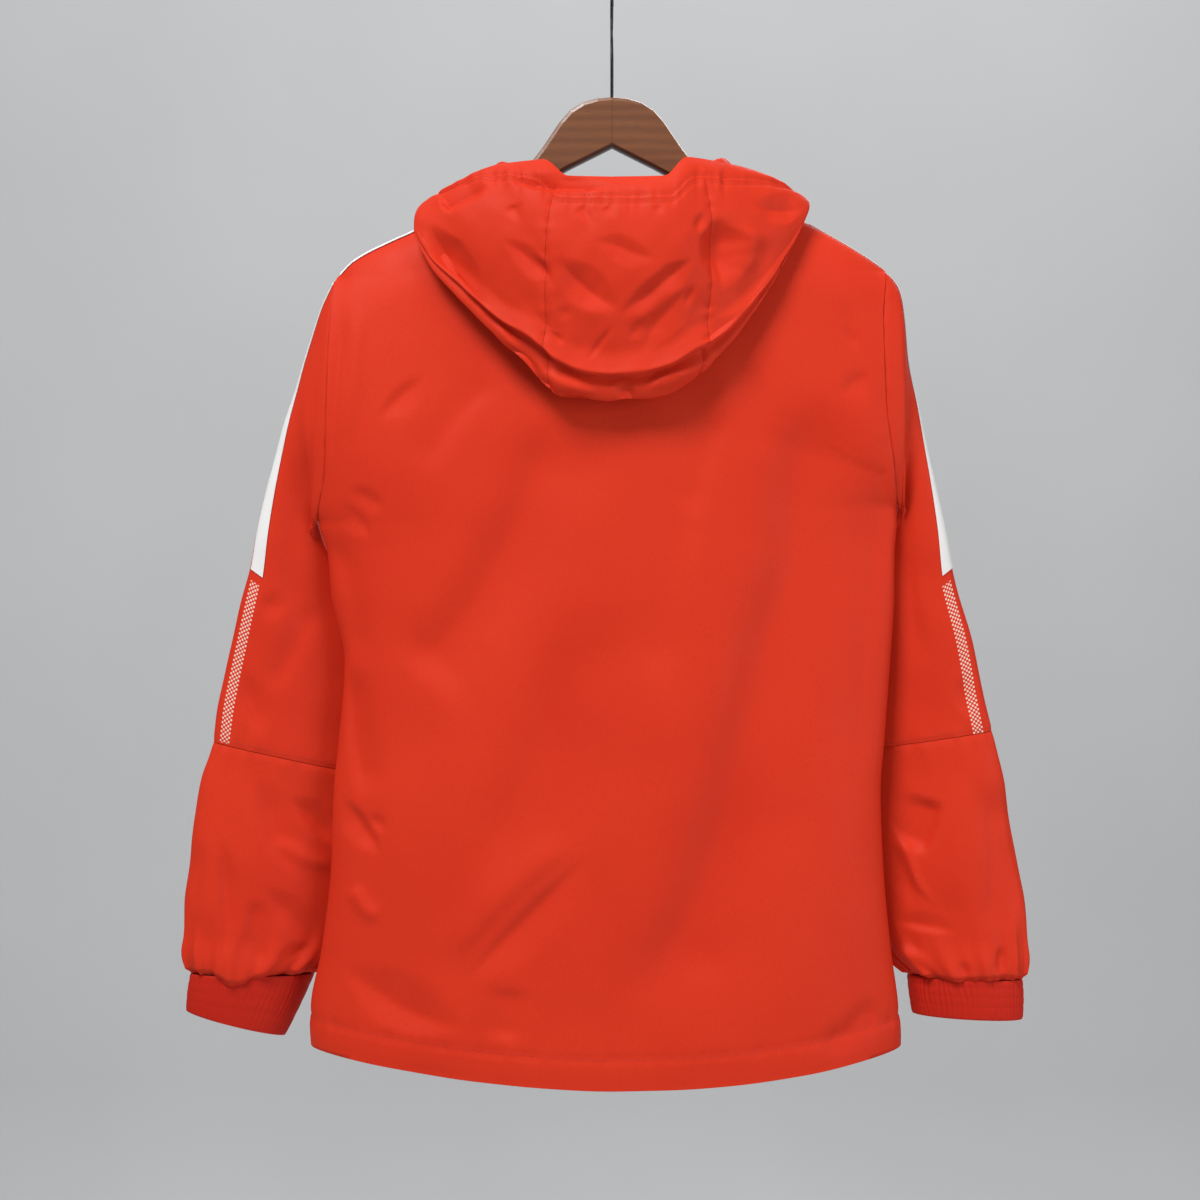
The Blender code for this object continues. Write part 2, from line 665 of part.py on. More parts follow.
def clear_of_shoulders(point):
    """Moves a point of the hood outwards, away from the shoulder's core, until it is off the body."""
    x, y, z = point
    ridge = float(ridge_z(x))
    core = ridge - 14
    for _ in range(80):
        face = "back" if y < 0 else "front"
        if z >= ridge + HOOD_OVER_BODY or abs(x) > 224:
            break
        if abs(y) >= float(body_y(x, z - HOOD_OVER_BODY * 0.7, face)) + HOOD_OVER_BODY * 0.8:
            break
        away_y, away_z = y, max(z - core, 0)
        reach = max(math.hypot(away_y, away_z), 1e-3)
        y, z = y + 0.5 * away_y / reach, z + 0.5 * away_z / reach
    return np.array([x, y, z])


def hood_section():
    """How far along the bag's outer wall each row lies, and how proud it stands with the tuck."""
    plain = [(s, 0.0) for s in (0, 0.06, 0.14, 0.24, 0.36, 0.48, 0.6, 0.72)]
    return plain + [tuple(row) for row in TUCK]


def hood_column(turn, necks):
    rim = np.array([station(turn, f"rim_{axis}") for axis in "xyz"])
    low = np.array([station(turn, f"low_{axis}") for axis in "xyz"])
    puff, tuck = station(turn, "puff"), station(turn, "tuck")
    angle = math.pi * abs(turn)
    outward = unit(np.array([math.copysign(math.sin(angle), turn) * 0.9, -math.cos(angle), 0.25]))
    points = []
    plain = np.linspace(0.72, 1, len(TUCK) + 1)[1:]
    for row, (along, proud) in enumerate(hood_section()):
        if row >= len(hood_section()) - len(TUCK):
            even = plain[row - (len(hood_section()) - len(TUCK))]
            along = tuck * along + (1 - tuck) * even
        bulge = puff * math.sin(math.pi * min(along, 1) ** 0.8)
        points.append(rim + (low - rim) * along + outward * (bulge + tuck * proud))
    neck = neck_point(turn, necks)
    start = neck + np.array([0, 0, 3 * SEAM])
    rise = start + np.array([0, 0, HOOD_RISE]) + outward * 0.8
    over = rise + outward * 6.0
    last = points[-1]
    for s in (0.16, 0.36, 0.6, 0.84):
        path = last + (over - last) * s
        points.append(clear_of_shoulders(path - np.array([0, 0, 3.5 * math.sin(math.pi * s)])))
    points += [over, rise, start]
    return np.array(points)


def hood_grid(necks):
    """The whole hood from the left front round the nape to the right front, rim first, with its normals.
    Each seam has two columns, one for either panel, with one normal between them."""
    left, right, gap = -HOOD_SEAMS["left"], HOOD_SEAMS["right"], HOOD_SEAM_TURN
    away = np.linspace(0, 1, HOOD_SIDE_COLUMNS) ** 1.25
    turns = [(left - gap) * (1 - away) - away, np.linspace(left + gap, right - gap, 9)]
    turns = [turns[0][::-1], turns[1], (right + gap) * (1 - away) + away]
    first = np.cumsum([0] + [len(span) for span in turns])
    turns = np.concatenate(turns)
    grid = np.array([hood_column(turn, necks) for turn in turns]).transpose(1, 0, 2)
    rim = [grid[0], rim_edge(grid, 0.5, 0), rim_edge(grid, 1, 0), rim_edge(grid, 1, 2 * SEAM)]
    grid = np.concatenate([np.array(rim), grid[3:]])
    normals = grid_normals(grid, False)
    if normals[5, grid.shape[1] // 2, 1] > 0:
        normals = -normals
    normals[-1, :, 2] = 0
    normals[2] = normals[3] = unit(normals[2] + normals[3])
    for seam in first[1:-1]:
        normals[:, seam] = normals[:, seam - 1] = unit(normals[:, seam] + normals[:, seam - 1])
    return grid, unit(normals), first


def build_hood(necks):
    grid, normals, first = hood_grid(necks)
    for name, start, end in zip(("hood_left", "hood_center", "hood_right"), first, first[1:]):
        part = grid[3:, start:end]
        wall(name, part, part - normals[3:, start:end] * CLOTH, False, RED)
    wall("hood_rim", grid[:3], grid[:3] - normals[:3] * HEM_CLOTH, False, RED)


def rim_edge(grid, part, more):
    """The line at a part of the rim's depth below it, and a little more; the rim is shallower at the fronts."""
    line = []
    for j in range(grid.shape[1]):
        run = np.linalg.norm(np.diff(grid[:4, j], axis=0), axis=1)
        reach = np.concatenate([[0], np.cumsum(run)])
        at = min(RIM_DEPTH, reach[-1] * 0.55) * part + more
        line.append([np.interp(at, reach, grid[:4, j, axis]) for axis in range(3)])
    return np.array(line)


# ---------------------------------------------------------------- zip
def build_zip(fronts):
    for side in ("left", "right"):
        sign = -1 if side == "left" else 1
        rows = []
        for level in body_levels()[1:]:
            row = []
            for reach in (SEAM, ZIP_HALF, TAPE_REACH):
                u = sign * reach / 225
                x, y, z = body_point(u, level, "front")
                row.append((sign * reach, y + SEAM / 2, z))
            rows.append(row)
        grid = np.array(rows)
        panel(f"zip_tape_{side}", grid, (0, 1, 0), RED_DARK, TAPE_CLOTH, lift=-CLOTH - SEAM)


def box_points(low, high):
    return [(x, y, z) for x in (low[0], high[0]) for y in (low[1], high[1]) for z in (low[2], high[2])]


BOX_FACES = [(0, 1, 3, 2), (4, 6, 7, 5), (0, 4, 5, 1), (2, 3, 7, 6), (0, 2, 6, 4), (1, 5, 7, 3)]


def zip_plane():
    """The outer face of the fronts beside the slider, and the tapes' outer face."""
    front = float(body_y(ZIP_HALF, SLIDER["z"] - SLIDER["length"] / 2, "front"))
    return front, front - CLOTH - SEAM + 0.2


def extruded(name, outline, low_x, high_x, colour, roughness, metallic):
    """A solid from an outline in Y and Z, drawn out along X."""
    count = len(outline)
    points = [(low_x, y, z) for y, z in outline] + [(high_x, y, z) for y, z in outline]
    faces = [tuple(range(count)), tuple(range(2 * count - 1, count - 1, -1))]
    faces += [(i, (i + 1) % count, count + (i + 1) % count, count + i)[::-1] for i in range(count)]
    return new_object(name, points, faces, colour, roughness, metallic)


def build_slider():
    """The slider's body, with a bridge over the pull tab's bar, as one outline joined to a box."""
    front, tape = zip_plane()
    z, half = SLIDER["z"], SLIDER["length"] / 2
    base_low, base_high = tape + SEAM, tape + SEAM + SLIDER["height"]
    body = new_object(
        "zip_slider",
        box_points((-SLIDER["width"] / 2, base_low, z - half), (SLIDER["width"] / 2, base_high, z + half)),
        BOX_FACES,
        METAL,
        0.35,
        1.0,
    )
    reach, height, thick = BRIDGE["half_length"], BRIDGE["height"], 1.1
    foot = base_high - 0.4
    outline = [
        (foot, z - reach),
        (base_high + height - 1, z - reach),
        (base_high + height, z - reach + 1),
        (base_high + height, z + reach - 1),
        (base_high + height - 1, z + reach),
        (foot, z + reach),
        (foot, z + reach - thick),
        (base_high + height - thick, z + reach - thick),
        (base_high + height - thick, z - reach + thick),
        (foot, z - reach + thick),
    ]
    bridge = extruded("slider_bridge", outline, -BRIDGE["width"] / 2, BRIDGE["width"] / 2, METAL, 0.35, 1.0)
    join = body.modifiers.new("bridge", "BOOLEAN")
    join.operation = "UNION"
    join.object = bridge
    bridge.hide_render = True
    bridge.display_type = "WIRE"
    bridge.hide_set(True)
    return base_high


def build_pull(base_high):
    """The pull tab: a plate with an eye whose upper bar runs under the slider's bridge."""
    z = SLIDER["z"]
    pivot_y = base_high + (BRIDGE["height"] - 1.1) / 2
    half, bar = PULL["width"] / 2, BRIDGE["bar"] / 2
    eye, drop = PULL["eye_half"], PULL["eye_length"]
    thick = PULL["thickness"] / 2
    rim = [(-half, bar), (half, bar), (half, -PULL["length"] + 2), (half - 2, -PULL["length"])]
    rim += [(-half + 2, -PULL["length"]), (-half, -PULL["length"] + 2)]
    hole = [(-eye, -bar), (-eye, -drop), (eye, -drop), (eye, -bar)]
    plate = [(x, pivot_y + s * min(thick, bar), z + dz) for s in (-1, 1) for x, dz in rim + hole]
    n = len(rim) + len(hole)
    # The face round the eye, cut into convex pieces from the rim's corners 0-5 to the hole's corners 6-9.
    pieces = [(0, 1, 9, 6), (1, 2, 8, 9), (2, 3, 4, 5, 7, 8), (5, 0, 6, 7)]
    faces = [piece for piece in pieces] + [tuple(n + i for i in reversed(piece)) for piece in pieces]
    for loop in (list(range(6)), [6, 7, 8, 9]):
        for a, b in zip(loop, loop[1:] + loop[:1]):
            faces.append((b, a, n + a, n + b))
    pull = new_object("zip_pull", np.array(plate) - np.array([0, pivot_y, z]), faces, METAL, 0.35, 1.0)
    hinge = bpy.data.objects.new("zip_pull_hinge", None)
    hinge.location = (0, pivot_y * MM, z * MM)
    bpy.context.scene.collection.objects.link(hinge)
    pull.parent = hinge


# ---------------------------------------------------------------- hanger
def build_hanger():
    """Two wooden arms that meet in a mitre, and the wire hook."""
    across = column(HANGER, HANGER_COLUMNS, "x")
    top, bottom = column(HANGER, HANGER_COLUMNS, "top"), column(HANGER, HANGER_COLUMNS, "bottom")
    tip = [(190, -224), (192.5, -232), (190, -240)]
    half = HANGER_THICK / 2
    for side, sign in (("left", -1), ("right", 1)):
        outline = [(sign * max(x, SEAM / 2), z) for x, z in zip(across, top)]
        outline += [(sign * x, z) for x, z in tip]
        outline += [(sign * max(x, SEAM / 2), z) for x, z in zip(across[::-1], bottom[::-1])]
        count = len(outline)
        points = [(x, y, z) for y in (-half, half) for x, z in outline]
        faces = [tuple(range(count)), tuple(range(2 * count - 1, count - 1, -1))]
        faces += [(i, (i + 1) % count, count + (i + 1) % count, count + i)[::-1] for i in range(count)]
        arm = new_object(f"hanger_{side}", points, faces, WOOD, 0.4)
        weight = arm.data.attributes.new("bevel_weight_edge", "FLOAT", "EDGE")
        corners = arm.data.vertices
        for edge in arm.data.edges:
            a, b = (corners[i].co for i in edge.vertices)
            same_face = abs(a.y - b.y) < 1e-6
            at_mitre = abs(a.x) < MM and abs(b.x) < MM
            weight.data[edge.index].value = float(same_face and not at_mitre)
        bevel = arm.modifiers.new("rounded_edges", "BEVEL")
        bevel.limit_method = "WEIGHT"
        bevel.width = HANGER_EDGE * MM
        bevel.segments = 2


def hook_path():
    """From the wood up the stem, round the bend and over the top to the tip."""
    radius = HOOK_INSIDE + HOOK_WIRE / 2
    centre_z = -HOOK_INSIDE
    end = math.radians(HOOK_BEND_DEG)
    bend_y, bend_z = radius * math.cos(end), centre_z + radius * math.sin(end)
    turn = math.radians(90 + HOOK_BEND_DEG + 10)
    sweep = math.radians(-HOOK_BEND_DEG)
    stem = bend_y / (1 - math.cos(sweep))
    points = [(0, 0, HANGER[0][1] + SEAM)]
    stem_top = bend_z - stem * math.sin(sweep)
    points += [(0, 0, z) for z in np.linspace(-86, stem_top, 4)]
    for s in np.linspace(0, 1, 8)[1:]:
        angle = sweep * s
        points.append((0, stem * (1 - math.cos(angle)), stem_top + stem * math.sin(angle)))
    for degrees in np.linspace(HOOK_BEND_DEG, HOOK_TIP_DEG, 24)[1:]:
        angle = math.radians(degrees)
        points.append((0, radius * math.cos(angle), centre_z + radius * math.sin(angle)))
    return points


def build_hook():
    curve = bpy.data.curves.new("hanger_hook", "CURVE")
    curve.dimensions = "3D"
    curve.bevel_depth = HOOK_WIRE / 2 * MM
    curve.bevel_resolution = 2
    curve.use_fill_caps = True
    route = hook_path()
    spline = curve.splines.new("POLY")
    spline.points.add(len(route) - 1)
    for point, place in zip(spline.points, route):
        point.co = (place[0] * MM, place[1] * MM, place[2] * MM, 1)
    obj = bpy.data.objects.new("hanger_hook", curve)
    obj.data.materials.append(new_material("hanger_hook", STEEL, 0.35, 1.0))
    bpy.context.scene.collection.objects.link(obj)


def main():
    for obj in list(bpy.data.objects):
        bpy.data.objects.remove(obj)
    back, fronts = build_body()
    for side in ("left", "right"):
        build_sleeve(side)
    build_shoulder_strips(back, fronts)
    build_hood({"back": back[-1], "left": fronts["left"][-1], "right": fronts["right"][-1]})
    build_zip(fronts)
    build_pull(build_slider())
    build_hanger()
    build_hook()


main()
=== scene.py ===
import math

import bpy
import numpy as np
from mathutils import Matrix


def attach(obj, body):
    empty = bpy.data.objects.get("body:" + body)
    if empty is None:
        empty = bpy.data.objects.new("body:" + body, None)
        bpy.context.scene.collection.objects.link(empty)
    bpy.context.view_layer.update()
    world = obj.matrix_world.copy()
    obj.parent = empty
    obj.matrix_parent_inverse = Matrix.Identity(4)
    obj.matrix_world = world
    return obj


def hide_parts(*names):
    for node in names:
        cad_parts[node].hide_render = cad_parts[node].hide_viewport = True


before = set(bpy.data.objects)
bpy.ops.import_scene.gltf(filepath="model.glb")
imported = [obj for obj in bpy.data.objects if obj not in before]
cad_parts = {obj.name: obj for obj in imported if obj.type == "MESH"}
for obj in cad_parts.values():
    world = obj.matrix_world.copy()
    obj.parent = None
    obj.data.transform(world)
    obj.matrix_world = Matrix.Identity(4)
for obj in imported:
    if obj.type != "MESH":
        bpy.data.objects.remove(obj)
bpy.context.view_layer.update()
bpy.ops.object.select_all(action="DESELECT")
print("frame loaded")

mm = 0.001
seam = 0.3
sides = ("left", "right")
# where the camera stands, in millimetres: the visible creases are placed as it sees them
eye = np.array((-9.8, -1850, -504.3))


# curves and waves that every piece uses
def smoothCurve(known, values, at):
    known, values, at = (np.asarray(item, float) for item in (known, values, at))
    if known[0] > known[-1]:
        known, values = known[::-1], values[::-1]
    step = np.diff(known)
    more = (1,) * (values.ndim - 1)
    rise = np.diff(values, axis=0) / step.reshape((-1,) + more)
    slope = np.empty_like(values)
    slope[0], slope[-1] = rise[0], rise[-1]
    both = rise[:-1] * rise[1:]
    total = np.where(both > 0, rise[:-1] + rise[1:], 1)
    slope[1:-1] = np.where(both > 0, 2 * both / total, 0)
    at = np.clip(at, known[0], known[-1])
    i = np.clip(np.searchsorted(known, at, side="right") - 1, 0, len(step) - 1)
    h = step[i]
    s = (at - known[i]) / h
    s, h = s.reshape(s.shape + more), h.reshape(h.shape + more)
    first = (1 + 2 * s) * (1 - s) ** 2 * values[i] + s * (1 - s) ** 2 * h * slope[i]
    return first + s * s * (3 - 2 * s) * values[i + 1] + s * s * (s - 1) * h * slope[i + 1]


def smoothStep(low, high, at):
    s = np.clip((np.asarray(at, float) - low) / (high - low), 0, 1)
    return s * s * (3 - 2 * s)


def unit(vectors):
    return vectors / np.maximum(np.linalg.norm(vectors, axis=-1, keepdims=True), 1e-9)


def bell(at, width):
    return np.exp(-((at / width) ** 2))


def unevenWave(at, length, start):
    # about -1 to 1, and never quite the same twice
    a = np.asarray(at, float) / length * 2 * math.pi
    slow = 0.4 * np.sin(a * 0.47 + 4.1 * start)
    return (np.sin(a + start) + 0.6 * np.sin(a * 1.618 + 2.3 * start) + slow) / 1.6


def runAlong(points):
    # how far along the first axis each point lies
    steps = np.linalg.norm(np.diff(points, axis=0), axis=-1)
    return np.concatenate([np.zeros((1,) + steps.shape[1:]), np.cumsum(steps, axis=0)])


def pointsAt(at, known, points):
    # between the known places the points lie on straight lines
    return np.stack([np.interp(at, known, points[:, k]) for k in range(3)], axis=-1)


def smoothPath(points):
    points = np.array(points, float)
    if len(points) == 2:
        return points
    run = runAlong(points)
    return smoothCurve(run, points, np.linspace(0, run[-1], 5 * len(points)))


def asSeen(grid):
    # where the camera sees each point on the plane y = 0, in which the creases are measured
    share = eye[1] / (eye[1] - grid[..., 1])
    return eye[0] + (grid[..., 0] - eye[0]) * share, eye[2] + (grid[..., 2] - eye[2]) * share


# a crease: its depth, its half widths left and right of its path, the path's points x z, and how
# much of its length it takes to fade in and out; a negative depth stands out
def fold(deep, wide, *path, ends=(0.25, 0.25), power=2):
    return {"deep": deep, "wide": wide, "path": path, "ends": ends, "power": power}


def sharpFold(deep, wide, *path, ends=(0.42, 0.42)):
    return {"deep": deep, "wide": wide, "path": path, "ends": ends}


# a sharp fold's flat flanks meet in a line: their reach in half widths, the share of it left at
# the ends, and how much the line is rounded
flank = {"reach": 1.7, "atEnds": 0.3, "rounding": 0.004}


def creaseDepth(creases, x, z):
    total = np.zeros(np.shape(x))
    for crease in creases:
        path = smoothPath(crease["path"])
        run = runAlong(path)
        best, along, side = np.full(np.shape(x), 1e9), np.zeros(np.shape(x)), np.zeros(np.shape(x))
        for (ax, az), (bx, bz), start in zip(path, path[1:], run):
            dx, dz = bx - ax, bz - az
            s = np.clip(((x - ax) * dx + (z - az) * dz) / (dx * dx + dz * dz), 0, 1)
            offX, offZ = x - ax - s * dx, z - az - s * dz
            away = np.hypot(offX, offZ)
            near = away < best
            best = np.where(near, away, best)
            along = np.where(near, (start + s * math.hypot(dx, dz)) / run[-1], along)
            side = np.where(near, dx * offZ - dz * offX, side)
        width = np.where(side > 0, *crease["wide"])
        first, last = crease["ends"]
        fade = smoothStep(0, first, along) * (1 - smoothStep(1 - last, 1, along))
        if "power" in crease:
            shape = np.exp(-((best / width) ** crease["power"]))
        else:
            reach = flank["reach"] * width * (flank["atEnds"] + (1 - flank["atEnds"]) * fade)
            near = 1 - best / reach
            shape = (near + np.sqrt(near**2 + flank["rounding"])) / 2
        total = total + crease["deep"] * fade * shape
    return total


def gridNormals(grid, closed=False):
    if closed:  # the last column is the first one again
        ring = grid[:, :-1]
        across = np.roll(ring, -1, axis=1) - np.roll(ring, 1, axis=1)
        across = np.concatenate([across, across[:, :1]], axis=1)
    else:
        across = np.gradient(grid, axis=1)
    return unit(np.cross(across, np.gradient(grid, axis=0)))


def facing(grid, outward, closed=False):
    # outward is a rough direction at the grid's middle
    normals = gridNormals(grid, closed)
    middle = normals[grid.shape[0] // 2, grid.shape[1] // 2]
    return normals if np.dot(middle, outward) > 0 else -normals


def gridLengths(grid):
    # the size of the cloth's pattern piece, across its widest row and down its longest column
    across = np.linalg.norm(np.diff(grid, axis=1), axis=2).sum(axis=1).max()
    down = np.linalg.norm(np.diff(grid, axis=0), axis=2).sum(axis=0).max()
    return across * mm, down * mm


def gridArea(grid):
    a, b = grid[1:, 1:] - grid[:-1, :-1], grid[1:, :-1] - grid[:-1, 1:]
    return np.linalg.norm(np.cross(a, b), axis=2).sum() / 2 * mm * mm


def pickLine(grid, measure, target):
    # on each column, the point where the measure reaches the target
    target = np.broadcast_to(target, grid.shape[1])
    return np.array([pointsAt(target[j], measure[:, j], grid[:, j]) for j in range(grid.shape[1])])


# millimetres, degrees and metres; widest is the most that a flat piece's width may be, as a share
# of its area over its length
cloth = {"thick": 0.5, "smooth": 60, "join": 2e-6, "widest": 3.2}


def layPoints(mesh, grid):
    # each point of the grid primitive goes to its own place in the grid
    rows, columns = grid.shape[:2]
    flat = np.empty(len(mesh.vertices) * 3, np.float32)
    mesh.vertices.foreach_get("co", flat)
    flat = flat.reshape(-1, 3) + 0.5
    column = np.rint(flat[:, 0] * (columns - 1)).astype(int)
    row = np.rint(flat[:, 1] * (rows - 1)).astype(int)
    mesh.vertices.foreach_set("co", (grid[row, column] * mm).astype(np.float32).ravel())


def layPattern(mesh, grid, width, length, bandAt):
    # the UV map is the flat pattern in metres; bandAt holds the distances across and along the dots
    corners = np.empty(len(mesh.loops) * 2, np.float32)
    mesh.uv_layers[0].data.foreach_get("uv", corners)
    corners = corners.reshape(-1, 2)
    if bandAt is not None:
        spot = np.rint(corners * (grid.shape[1] - 1, grid.shape[0] - 1)).astype(int)
        across = bandAt[spot[:, 1], spot[:, 0]].astype(np.float32)
        mesh.uv_layers.new(name="band").data.foreach_set("uv", across.ravel())
    pattern = (corners * (width, length)).astype(np.float32)
    mesh.uv_layers[0].data.foreach_set("uv", pattern.ravel())


# one piece of cloth: a grid primitive whose points are moved onto the shape, then given its thickness
def makeCloth(
    name,
    grid,
    outward,
    look,
    node,
    closed=False,
    thick=cloth["thick"],
    bandAt=None,
):
    rows, columns = grid.shape[:2]
    bpy.ops.object.select_all(action="DESELECT")
    bpy.ops.mesh.primitive_grid_add(
        x_subdivisions=columns - 1, y_subdivisions=rows - 1, size=1, calc_uvs=True
    )
    piece = bpy.context.object
    piece.name = piece.data.name = name
    width, length = gridLengths(grid)
    layPoints(piece.data, grid)
    layPattern(piece.data, grid, width, length, bandAt)
    piece.data.update()
    middle = piece.data.polygons[(rows // 2) * (columns - 1) + columns // 2]
    insideOut = middle.normal.dot(outward) < 0
    bpy.ops.object.mode_set(mode="EDIT")
    bpy.ops.mesh.select_all(action="SELECT")
    if closed:
        bpy.ops.mesh.remove_doubles(threshold=cloth["join"])
    if insideOut:
        bpy.ops.mesh.flip_normals()
    bpy.ops.object.mode_set(mode="OBJECT")
    wall = piece.modifiers.new("thickness", "SOLIDIFY")
    wall.thickness, wall.offset = thick * mm, -1
    bpy.ops.object.modifier_apply(modifier=wall.name)
    bpy.ops.object.shade_smooth_by_angle(angle=math.radians(cloth["smooth"]))
    piece.data.materials.append(look)
    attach(piece, "garment")
    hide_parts(node)
    area = gridArea(grid)
    # a slanted tube's widest row is wider than the piece it is cut from
    width = min(width, cloth["widest"] * area / length)
    return piece


# materials: the helpers make nodes beside the socket that feeds them
def newMaterial(name, colour):
    material = bpy.data.materials.new(name)
    material.use_nodes = True
    material.diffuse_color = (*colour, 1)
    return material, material.node_tree.nodes["Principled BSDF"]


def feed(socket, value):
    # a link from another node, or else a plain value
    if isinstance(value, bpy.types.NodeSocket):
        socket.id_data.links.new(value, socket)
    else:
        socket.default_value = (*value, 1) if socket.type == "RGBA" else value


def feedAll(node, values):
    for name, value in values.items():
        feed(node.inputs[name], value)
    return node


def addNode(near, kind, values):
    # near is a node or a socket of the same material
    return feedAll(near.id_data.nodes.new("ShaderNode" + kind), values)


def noiseNode(source, scale, detail=3.0, rough=0.5):
    values = {"Vector": source, "Scale": scale, "Detail": detail, "Roughness": rough}
    return addNode(source, "TexNoise", values).outputs["Fac"]


def waveNode(source, direction, values):
    wave = addNode(source, "TexWave", {"Vector": source, **values})
    wave.bands_direction = direction
    return wave.outputs["Fac"]


def rangeNode(source, low, high, toLow, toHigh):
    ends = {"From Min": low, "From Max": high, "To Min": toLow, "To Max": toHigh}
    return addNode(source, "MapRange", {"Value": source, **ends}).outputs["Result"]


def mixNode(share, first, second):
    mix = addNode(share, "Mix", {})
    mix.data_type = "RGBA"
    return feedAll(mix, {"Factor": share, "A": first, "B": second}).outputs["Result"]


def bumpNode(height, strength, distance, before=None):
    values = {"Height": height, "Strength": strength, "Distance": distance}
    if before is not None:
        values["Normal"] = before
    return addNode(height, "Bump", values).outputs["Normal"]


def mathNode(kind, first, second=0.0):
    part = addNode(first, "Math", {})
    part.operation = kind
    for socket, value in zip(part.inputs, (first, second)):
        feed(socket, value)
    return part.outputs["Value"]


def dotShare(near, band):
    # 1 on the dots of the band and 0 beside them; the UV map holds distances across and along it
    where = addNode(near, "UVMap", {})
    where.uv_map = "band"
    turned = {"Vector": where.outputs["UV"], "Rotation": (0, 0, math.radians(45))}
    spread = addNode(near, "Mapping", turned).outputs["Vector"]
    dots = addNode(near, "TexVoronoi", {})
    dots.voronoi_dimensions = "2D"
    feedAll(dots, {"Vector": spread, "Scale": 1 / band["pitch"], "Randomness": 0.0})
    apart = addNode(near, "SeparateXYZ", {"Vector": where.outputs["UV"]})
    along = apart.outputs["Y"]
    share = mathNode("LESS_THAN", mathNode("ABSOLUTE", apart.outputs["X"]), band["half"])
    share = mathNode("MULTIPLY", share, mathNode("GREATER_THAN", along, 0.0))
    share = mathNode("MULTIPLY", share, mathNode("LESS_THAN", along, band["length"]))
    edges = (band["dot"] + band["blur"], band["dot"] - band["blur"])
    return mathNode("MULTIPLY", share, rangeNode(dots.outputs["Distance"], *edges, 0, 1))


redLook = {
    "light": (0.70, 0.037, 0.0115),
    "deep": (0.64, 0.030, 0.0092),
    "dim": 0.86,
    "patch": 7,
    "grain": 0.35,
    "grainScale": 700,
    "threads": 900,
    "weave": (0.25, 0.00006),
    "rough": 0.58,
    "crinkle": 55,
    "crinkled": 0.24,
    "crinkleHeight": 0.0011,
    "sheen": 0.05,
    "sheenTint": (1.0, 0.35, 0.25),
    "gloss": 0.14,
}
dottedBand = {
    "pitch": 0.0026,
    "half": 0.0044,
    "length": 0.134,
    "dot": 0.34,
    "blur": 0.06,
    "colour": (0.88, 0.64, 0.53),
}


def wovenCloth(name, changes, band=None):
    # every cloth is the red one with a few changes
    look = {**redLook, **changes}
    material, shader = newMaterial(name, look["light"])
    place = addNode(shader, "TexCoord", {})
    spot = place.outputs["Object"]
    patches = rangeNode(noiseNode(spot, look["patch"], 2), 0.3, 0.7, 0, 1)
    grain = rangeNode(noiseNode(spot, look["grainScale"], 2), 0.45, 0.75, 0, look["grain"])
    dim = tuple(look["dim"] * part for part in look["deep"])
    colour = mixNode(grain, mixNode(patches, look["light"], look["deep"]), dim)
    if band:
        colour = mixNode(dotShare(shader, band), colour, band["colour"])
    threads = {"Scale": look["threads"], "Distortion": 0.0}
    threads = [waveNode(place.outputs["UV"], direction, threads) for direction in ("X", "Y")]
    normal = bumpNode(mathNode("MAXIMUM", *threads), *look["weave"])
    crinkle = noiseNode(spot, look["crinkle"], 4, 0.55)
    normal = bumpNode(crinkle, look["crinkled"], look["crinkleHeight"], normal)
    rough = (look["rough"] - 0.05, look["rough"] + 0.05)
    finish = {
        "Base Color": colour,
        "Roughness": rangeNode(noiseNode(spot, 40, 3), 0.3, 0.7, *rough),
        "Normal": normal,
        "Sheen Weight": look["sheen"],
        "Sheen Roughness": 0.4,
        "Sheen Tint": look["sheenTint"],
        "Specular IOR Level": look["gloss"],
    }
    feedAll(shader, finish)
    return material


def shades(light, deep, **changes):
    return {"light": light, "deep": deep, **changes}


redCloth = wovenCloth("redCloth", {})
redBandCloth = wovenCloth("redClothWithDots", {}, dottedBand)
# the cuffs' cloth is the red cloth made darker: a painted shade for the shading that falls on the cuffs
cuffClothPaintedShade = wovenCloth("shirredCuffClothPaintedShade", shades((0.58, 0.020, 0.008), (0.50, 0.016, 0.006), crinkled=0.35))
tapeLook = shades((0.50, 0.028, 0.016), (0.43, 0.022, 0.012), threads=450, crinkled=0.1)
tapeCloth = wovenCloth("zipTapeCloth", tapeLook)
whiteLook = shades((0.86, 0.85, 0.84), (0.80, 0.79, 0.78), grain=0.2, sheenTint=(1, 1, 1), crinkled=0.12)
whiteCloth = wovenCloth("whiteStripCloth", whiteLook)
threadLook = shades((0.62, 0.05, 0.026), (0.5, 0.03, 0.016), threads=2000, gloss=0.5)
redThread = wovenCloth("redThread", threadLook)
toothLook = shades((0.46, 0.025, 0.014), (0.40, 0.02, 0.012), rough=0.38, crinkled=0.05, gloss=0.5)
redPlastic = wovenCloth("redZipTeeth", toothLook)

# the arms' lower edges carry a painted shade, a dark band that stands for their shadowed undersides; they
# fall outwards from the foot of the mitre
wood = {
    "light": (0.215, 0.076, 0.026),
    "deep": (0.135, 0.044, 0.015),
    "fibre": (0.06, 0.022, 0.011),
    "paintedUndersideShade": (0.018, 0.006, 0.003),
    "paintedShadeUpTo": (0.0022, 0.0036),
    "fall": 0.5,
    "foot": -0.134,
    "rough": 0.36,
}


